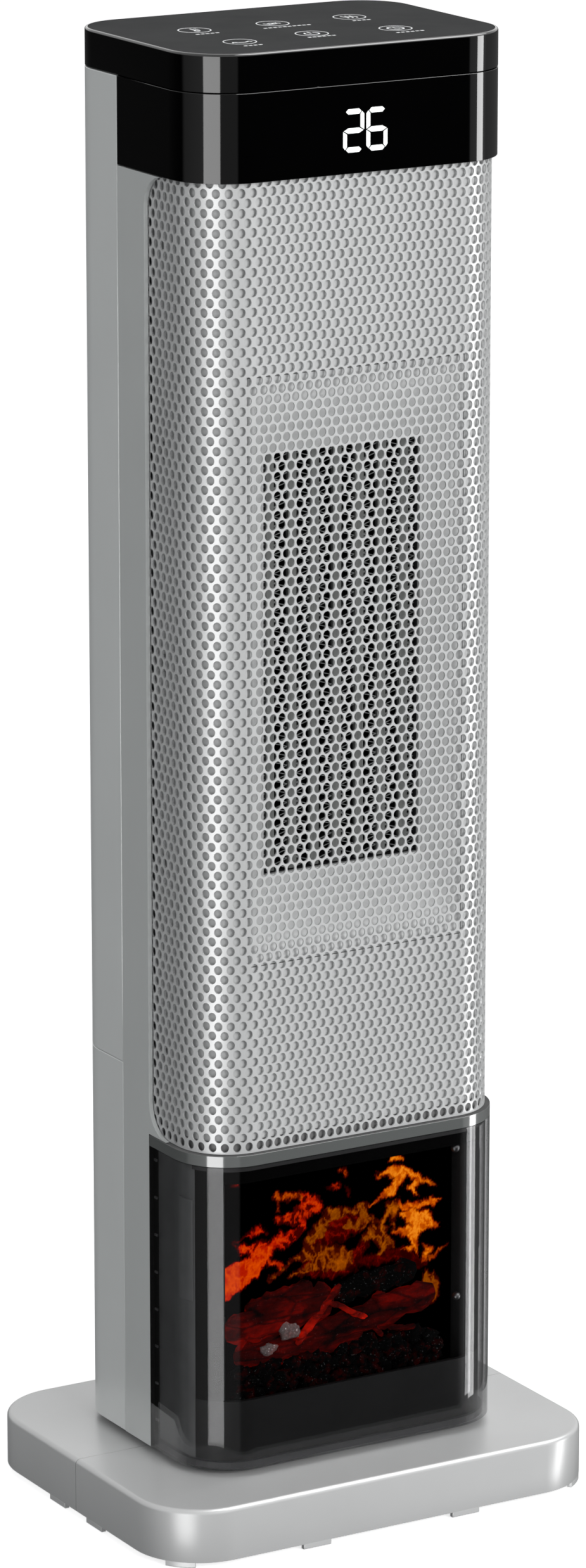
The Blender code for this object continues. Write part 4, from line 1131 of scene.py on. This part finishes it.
def depth_in(tongue, x, z):
    """How far inside a tapered tongue a place is, negative outside it."""
    deepest = -1e9
    for (ax, az, start_width), (bx, bz, end_width) in zip(tongue, tongue[1:]):
        dx, dz = bx - ax, bz - az
        t = max(0.0, min(1.0, ((x - ax) * dx + (z - az) * dz) / (dx * dx + dz * dz)))
        gap = math.hypot(x - ax - t * dx, z - az - t * dz)
        deepest = max(deepest, start_width + (end_width - start_width) * t - gap)
    return deepest


SOFT_EDGE = 0.5                         # mm that a tongue fades out past its own outline
BLACK = (0.0, 0.0, 0.0)


def flame_colour(x, z):
    """The glowing picture at one place: brightness and how far from red to amber it is."""
    wave = noise.noise_vector(Vector((x * 0.30, z * 0.22, 3.7)))
    ripple = noise.noise_vector(Vector((x * 1.3, z * 0.8, 8.2)))
    wx = x + wave.x * 1.9 + ripple.x * 1.0
    wz = z + wave.y * 1.9 + ripple.y * 1.0
    wide = 1.0 - abs(noise.noise(Vector((wx * 0.17 + wz * 0.05, wz * 0.12, 9.1)))) * 4.2
    fine = 1.0 - abs(noise.noise(Vector((wx * 0.36, wz * 0.26 + wx * 0.06, 2.4)))) * 3.4
    strand = max(0.0, wide, 0.85 * fine)
    bright, amber = 0.0, 0.0
    for strength, hue, tongue in FLAMES:
        depth = depth_in(tongue, wx, wz)
        if depth < -SOFT_EDGE:
            continue
        edge = min(1.0, (depth + SOFT_EDGE) / 1.6)
        base = 0.34 if strength < 0.65 else 0.66
        here = strength * edge * (base + (1.12 - base) * strand)
        if here > bright:
            bright, amber = here, hue * min(1.0, 0.35 + 0.35 * edge + 0.45 * strand)
    return max(0.0, min(1.0, bright)), amber


def fire_shader():
    made = Shader("flame_picture_film", Base_Color=(0.0, 0.0, 0.0, 1.0), Roughness=0.5,
                  Specular_IOR_Level=0.0, Emission_Strength=1.25)
    heat = made.node("Attribute", attribute_name="glow_level").outputs["Fac"]
    amber = made.node("Attribute", attribute_name="amber_share").outputs["Fac"]
    worn = made.math("MULTIPLY", heat, made.spread(made.noise(900.0, 3.0, 0.6), 0.92, 1.08))
    red = made.ramp(worn, [(0.0, BLACK), (0.2, (0.05, 0.0, 0.0)), (0.45, (0.42, 0.006, 0.0)),
                           (0.75, (0.66, 0.05, 0.0)), (1.0, (0.80, 0.14, 0.01))])
    gold = made.ramp(worn, [(0.0, BLACK), (0.2, (0.05, 0.004, 0.0)), (0.5, (0.24, 0.055, 0.0)),
                            (0.75, (0.60, 0.13, 0.0)), (1.0, (0.85, 0.26, 0.01))])
    mixed = made.node("Mix", {"Factor": amber}, data_type="RGBA")
    made.tree.links.new(red, mixed.inputs[6])
    made.tree.links.new(gold, mixed.inputs[7])
    made.link(mixed.outputs[2], "Emission Color")
    return made.material


def ember_shader(name, glow, dark, scale, cover, stretch=(1.0, 1.0, 1.0), ash=(0.72, 9.0)):
    """Charred wood or coal: red heat in soft patches, faint cracks, fine pale ash flecks."""
    made = Shader(name, Roughness=0.85, Specular_IOR_Level=0.02, Emission_Strength=1.0)
    char = made.noise(1100.0, 3.0)
    made.link(made.ramp(char, [(0.35, tinted(dark, 0.5)), (ash[0] - 0.05, dark),
                               (ash[0], tinted(dark, ash[1]))]), "Base Color")
    long_grain = made.stretched(stretch)
    heat = made.noise(scale, 4.0, 0.6, place=long_grain)
    cracks = made.node("TexVoronoi", {"Vector": long_grain, "Scale": scale * 1.3},
                       feature="DISTANCE_TO_EDGE").outputs["Distance"]
    lit = made.math("MULTIPLY", heat, made.spread(cracks, 0.80, 1.0, 0.0, 0.10))
    made.link(made.ramp(lit, [(cover - 0.16, BLACK), (cover, tinted(glow, 0.25)),
                              (cover + 0.14, glow), (cover + 0.3, tinted(glow, 2.2))]),
              "Emission Color")
    made.bump(made.noise(420.0, 5.0, 0.7), 0.6, 0.0006)
    return made.material


def rough_lump(name, centre, size, material, seed, rough=0.22, turn=0.0):
    """An irregular lump: a subdivided solid pushed about by noise."""
    work = bmesh.new()
    bmesh.ops.create_icosphere(work, subdivisions=3, radius=1.0)
    shift = Vector((seed * 3.1, seed * 1.7, seed * 0.9))
    spin = Matrix.Rotation(turn, 3, "Y")
    for vert in work.verts:
        way = vert.co.copy()
        push = 1.0 + rough * 2 * noise.noise(way * 1.6 + shift)
        push += rough * noise.noise(way * 4.5 + shift)
        way = spin @ Vector((way.x * size[0], way.y * size[1], way.z * size[2])) * push
        vert.co = (way + Vector(centre)) * MM
    mesh = bpy.data.meshes.new(name)
    work.to_mesh(mesh)
    work.free()
    mesh.shade_smooth()
    mesh.materials.append(material)
    piece = add_object(name, mesh)
    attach(piece, "tower")


def log(name, start, end, radius, deep, material, seed):
    """A charred log between two places, knotty and a little bent."""
    first, last = Vector(start), Vector(end)
    along = (last - first).normalized()
    side = Vector((0.0, 1.0, 0.0))
    up = along.cross(side).normalized()
    rings, sides, steps = [], 12, 18
    shift = seed * 5.3
    for k in range(steps + 1):
        t = k / steps
        end_taper = min(1.0, 0.45 + 7.0 * min(t, 1 - t))
        centre = first.lerp(last, t) + up * 1.2 * noise.noise(Vector((t * 2.2, shift, 0.0)))
        ring = []
        for i in range(sides):
            angle = 2 * math.pi * i / sides
            way = Vector((t * 9.0, math.cos(angle) * 1.3 + shift, math.sin(angle) * 1.3))
            swell = 1.0 + 0.42 * noise.noise(way) + 0.30 * noise.noise(way * 3.1)
            reach = swell * end_taper
            spot = centre + up * math.cos(angle) * radius * reach
            spot += side * math.sin(angle) * deep * reach
            ring.append(tuple(spot))
        rings.append(ring)
    piece = stack(name, rings, material, sharp=48.0)
    return piece


def build_flame_picture():
    """A fine flat grid that carries the flames' brightness and hue at each of its points."""
    step, y = 0.45, -41.0
    half, low, high = 58.6, 56.4, 161.1
    columns, rows = round(2 * half / step), round((high - low) / step)
    verts, faces, heats, ambers = [], [], [], []
    for j in range(rows + 1):
        for i in range(columns + 1):
            x = -half + 2 * half * i / columns
            z = low + (high - low) * j / rows
            verts.append((x, y, z))
            heat, amber = flame_colour(x, z)
            heats.append(heat)
            ambers.append(amber)
    for j in range(rows):
        for i in range(columns):
            a = j * (columns + 1) + i
            faces.append((a, a + 1, a + columns + 2, a + columns + 1))
    screen = add_mesh("flame_picture", verts, faces, fire_shader(), flip_check=False)
    for name, values in (("glow_level", heats), ("amber_share", ambers)):
        layer = screen.data.attributes.new(name, "FLOAT", "POINT")
        layer.data.foreach_set("value", values)
    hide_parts("flame_screen")


def build_flame_box():
    """The box round the fire: closed at the back, and flared from the picture to its mouth."""
    rings = []
    for half_width, y, inset in ((59.5, 0.0, 0.0), (59.5, -41.0, 0.0), (62.0, -46.5, 0.0),
                                 (63.2, -46.5, 1.5), (61.0, -41.0, 1.5), (61.0, 2.0, 1.5)):
        low, high = 55.5 - inset, 162.0 + inset
        rings.append([(-half_width, y, low), (half_width, y, low), (half_width, y, high),
                      (-half_width, y, high)])
    box = stack("flame_box_shell", rings, BOX_GREY)
    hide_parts("flame_box")


def build_fuel():
    red_wood = ember_shader("glowing_wood", (0.12, 0.0012, 0.0), (0.006, 0.002, 0.002), 110.0, 0.50,
                            (0.35, 1.0, 1.2))
    hot_wood = ember_shader("hot_wood", (0.22, 0.003, 0.0), (0.010, 0.003, 0.003), 110.0, 0.42,
                            (0.5, 1.0, 1.0))
    coal = ember_shader("dark_coal", (0.05, 0.0005, 0.0), (0.0012, 0.0012, 0.0012), 150.0, 0.66,
                        ash=(0.70, 50.0))
    ash = ember_shader("pale_ash", (0.12, 0.01, 0.005), (0.16, 0.13, 0.125), 200.0, 0.55)
    logs = (
        ("log_1", (-61.0, -45.6, 90.0), (-6.0, -45.2, 98.0), 8.0, 3.2, red_wood),
        ("log_2", (-24.0, -45.8, 79.0), (47.0, -45.4, 92.0), 7.0, 3.1, red_wood),
        ("log_3", (-56.0, -44.6, 78.0), (10.0, -44.4, 80.0), 6.5, 2.6, red_wood),
        ("log_4", (15.0, -45.4, 94.0), (40.0, -45.6, 86.5), 3.4, 2.6, red_wood),
        ("log_5", (-26.0, -47.8, 80.0), (-3.0, -46.8, 104.0), 1.9, 1.2, hot_wood),
        ("log_6", (-9.0, -47.8, 96.5), (12.0, -47.8, 85.0), 1.4, 1.0, hot_wood),
        ("log_7", (-6.0, -44.6, 99.0), (38.0, -44.2, 104.0), 5.5, 2.4, coal),
        ("log_8", (-50.0, -44.4, 99.0), (-16.0, -44.2, 104.0), 4.5, 2.4, red_wood),
        ("log_9", (10.0, -47.6, 87.0), (19.0, -47.2, 76.0), 1.2, 1.0, red_wood),
        ("log_10", (-57.0, -47.6, 82.0), (-44.0, -47.0, 98.0), 1.3, 1.0, red_wood),
        ("log_11", (22.0, -47.6, 80.0), (36.0, -47.2, 77.0), 1.3, 1.0, red_wood),
    )
    bed = None
    for seed, (name, start, end, radius, deep, material) in enumerate(logs, 1):
        piece = log(name, start, end, radius, deep, material, seed)
        bed = bed or piece
    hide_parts("fuel_bed")
    rough_lump("ash_lump", (-29.0, -46.6, 87.5), (5.2, 2.2, 4.6), ash, 3)
    rough_lump("ash_crumb", (-40.0, -47.0, 80.0), (4.0, 1.6, 2.6), ash, 8)
    dice = random.Random(7)
    number, count, half_width = 0, 13, 52.0
    for row, z in enumerate((61.0, 66.5, 72.0)):
        for k in range(count):
            number += 1
            share = (k + 0.5 * (row % 2)) / count
            x = -half_width + 2 * half_width * share + dice.uniform(-1.5, 1.5)
            size = dice.uniform(4.2, 6.0)
            centre = (x, -45.6 + dice.uniform(-0.5, 0.5), z + dice.uniform(-1.2, 1.2))
            rough_lump(f"coal_{number}", centre, (size, 2.9, size * 0.72), coal, number, 0.3,
                       dice.uniform(-0.6, 0.6))


def fastener(name, centre, radius, tall):
    """A domed push-in stud, its axis along Y."""
    x, y, z = centre
    steps = 7
    rings = [(radius, y + 1.0)]
    for k in range(steps):
        angle = math.pi / 2 * k / steps
        rings.append((radius * math.cos(angle), y - tall * math.sin(angle)))
    piece = drum(name, (x, z), rings, STUD_METAL, sides=24)


build_cap()
build_icons()
build_digits()
build_grille()
build_front_casing()
build_window()
build_rear()
build_base()
build_heater()
build_flame_box()
build_flame_picture()
build_fuel()
fastener("stud_upper", (53.6, -52.6, 160.0), 2.0, 1.6)
fastener("stud_lower", (54.6, -52.6, 90.0), 1.8, 1.6)

# ------------------------------------------------------- carried-over CAD nodes
FINISHES = {
    "black_plastic": BLACK_PLASTIC, "duct_grey": DUCT_PAINT, "steel": STEEL,
    "zinc_plate": STEEL, "heater_metal": BAR_METAL, "casing_silver": CASING,
    "white_nylon": grained("white_nylon_moulding", (0.70, 0.70, 0.66), 0.45),
    "board_green": grained("green_board_laminate", (0.02, 0.15, 0.06), 0.45, 500.0),
    "rubber_foot": grained("black_rubber", (0.02, 0.02, 0.02), 0.8, 600.0),
}


def finish_cad_nodes():
    """Gives the CAD nodes that still show the finish of their material slot."""
    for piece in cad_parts.values():
        if piece.hide_render:
            continue
        for k, used in enumerate(piece.data.materials):
            slot = used.name.split(".")[0] if used else ""
            piece.data.materials[k] = FINISHES.get(slot, BLACK_PLASTIC)


finish_cad_nodes()


# ------------------------------------------------------------- studio and camera
def build_floor():
    made = Shader("studio_floor", Roughness=0.9, Emission_Strength=0.68)
    made.link(made.ramp(made.noise(3.0), [(0.3, (0.90, 0.90, 0.90)), (0.7, (0.92, 0.92, 0.92))]),
              "Base Color")
    made.bsdf.inputs["Emission Color"].default_value = WHITE
    mesh = bpy.data.meshes.new("studio_floor")
    size = 14.0
    mesh.from_pydata([(-size, -size, 0), (size, -size, 0), (size, size, 0), (-size, size, 0)], [],
                     [(0, 1, 2, 3)])
    mesh.materials.append(made.material)
    floor = add_object("studio_floor", mesh)
    floor.location.z = -0.0005
    floor.visible_glossy = False
    floor.visible_diffuse = False
    floor.visible_shadow = False


PANELS = (      # degrees from -Y towards -X, and radiance, up to just above the horizon
    (-180, 0.05), (-115, 0.15), (-76, 0.3), (-68, 0.6), (-50, 0.5), (-38, 0.4), (-36, 0.0),
    (3, 0.0), (6, 0.25), (34.5, 0.25), (69, 0.4), (105, 0.25), (112, 0.0), (180, 0.05),
)
SKY, BACKDROP, EVEN_LIGHT = 1.8, 1.02, 0.36


def build_world():
    """Even light for matt surfaces, and upright light and dark panels for glossy ones.

    The panels are set by direction: degrees from -Y, positive towards -X.
    """
    world = bpy.data.worlds.new("studio_world")
    bpy.context.scene.world = world
    world.use_nodes = True
    world.node_tree.nodes.clear()
    world.cycles.sampling_method = "NONE"
    made = Nodes(world.node_tree)

    def light(**inputs):
        return made.node("Background", inputs).outputs[0]

    direction = made.node("TexCoord").outputs["Generated"]
    parts = made.node("SeparateXYZ", {0: direction}).outputs
    from_front = made.math("ARCTAN2", made.math("MULTIPLY", parts["X"], -1.0),
                           made.math("MULTIPLY", parts["Y"], -1.0))
    turn = made.node("MapRange", {"Value": from_front, "From Min": -math.pi,
                                  "From Max": math.pi}).outputs["Result"]
    stops = [((degrees + 180) / 360, (level, level, level)) for degrees, level in PANELS]
    rising = made.node("MapRange", {"Value": parts["Z"], "From Min": 0.02, "From Max": 0.12},
                       interpolation_type="SMOOTHSTEP").outputs["Result"]
    panels = made.mix(rising, light(Color=made.ramp(turn, stops)), light(Strength=SKY))
    even = light(Color=(0.93, 0.95, 0.96, 1.0), Strength=EVEN_LIGHT)
    path = made.node("LightPath").outputs
    unseen = made.mix(path["Is Glossy Ray"], even, panels)
    seen = made.mix(path["Is Camera Ray"], unseen, light(Color=WHITE, Strength=BACKDROP))
    made.node("OutputWorld", {"Surface": seen})


def area_lamp(name, azimuth, elevation, distance, width, target):
    """An area lamp aimed at target, its azimuth in degrees from -Y towards -X."""
    data = bpy.data.lights.new(name, "AREA")
    data.size = width
    lamp = add_object(name, data)
    turn, lift = math.radians(azimuth), math.radians(elevation)
    way = Vector((-math.sin(turn) * math.cos(lift), -math.cos(turn) * math.cos(lift),
                  math.sin(lift)))
    lamp.location = Vector(target) + way * distance
    lamp.rotation_euler = way.to_track_quat("Z", "Y").to_euler()
    lamp.visible_camera = False
    return lamp


def soft_light(name, azimuth, elevation, distance, size, power):
    """A square light that glossy surfaces don't mirror."""
    lamp = area_lamp(name, azimuth, elevation, distance, size, (0.0, 0.0, 0.3))
    lamp.data.energy = power
    lamp.visible_glossy = False


def reflector(name, azimuth, elevation, distance, width, height, radiance, level):
    """A bright panel seen only in glossy surfaces; level is the height that it is aimed at."""
    panel = area_lamp(name, azimuth, elevation, distance, width, (0.0, 0.0, level))
    panel.data.shape = "RECTANGLE"
    panel.data.size_y = height
    panel.data.energy = radiance * math.pi * width * height
    panel.visible_diffuse = False
    panel.visible_transmission = False


CAMERA_PLACE = (-1.43380578, -2.44378942, 1.07025876)       # metres, like the aim
CAMERA_AIM = (0.000216, 0.0, 0.32322)
CAMERA_LENS, SENSOR_HEIGHT = 101.261, 24.0                  # mm


def build_camera():
    data = bpy.data.cameras.new("photo_camera")
    data.sensor_fit = "VERTICAL"
    data.sensor_height = SENSOR_HEIGHT
    data.lens = CAMERA_LENS
    data.clip_end = 60.0
    camera = add_object("photo_camera", data)
    camera.location = CAMERA_PLACE
    way = camera.location - Vector(CAMERA_AIM)
    camera.rotation_euler = way.to_track_quat("Z", "Y").to_euler()
    bpy.context.scene.camera = camera


build_floor()
build_world()
soft_light("key_light", -9, 18, 2.4, 1.3, 47)
soft_light("side_light", 84, 25, 2.6, 1.6, 12)
reflector("left_strip", 51.75, 0, 6.0, 3.26, 5.4, 5.6, level=-1.9)
reflector("right_strip", -59.5, 0, 6.0, 1.58, 5.4, 11.0, level=-1.9)
reflector("top_softbox", -63.0, 56.5, 3.0, 2.5, 2.5, 11.0, level=0.3)
build_camera()
bpy.context.scene.view_settings.view_transform = "Standard"
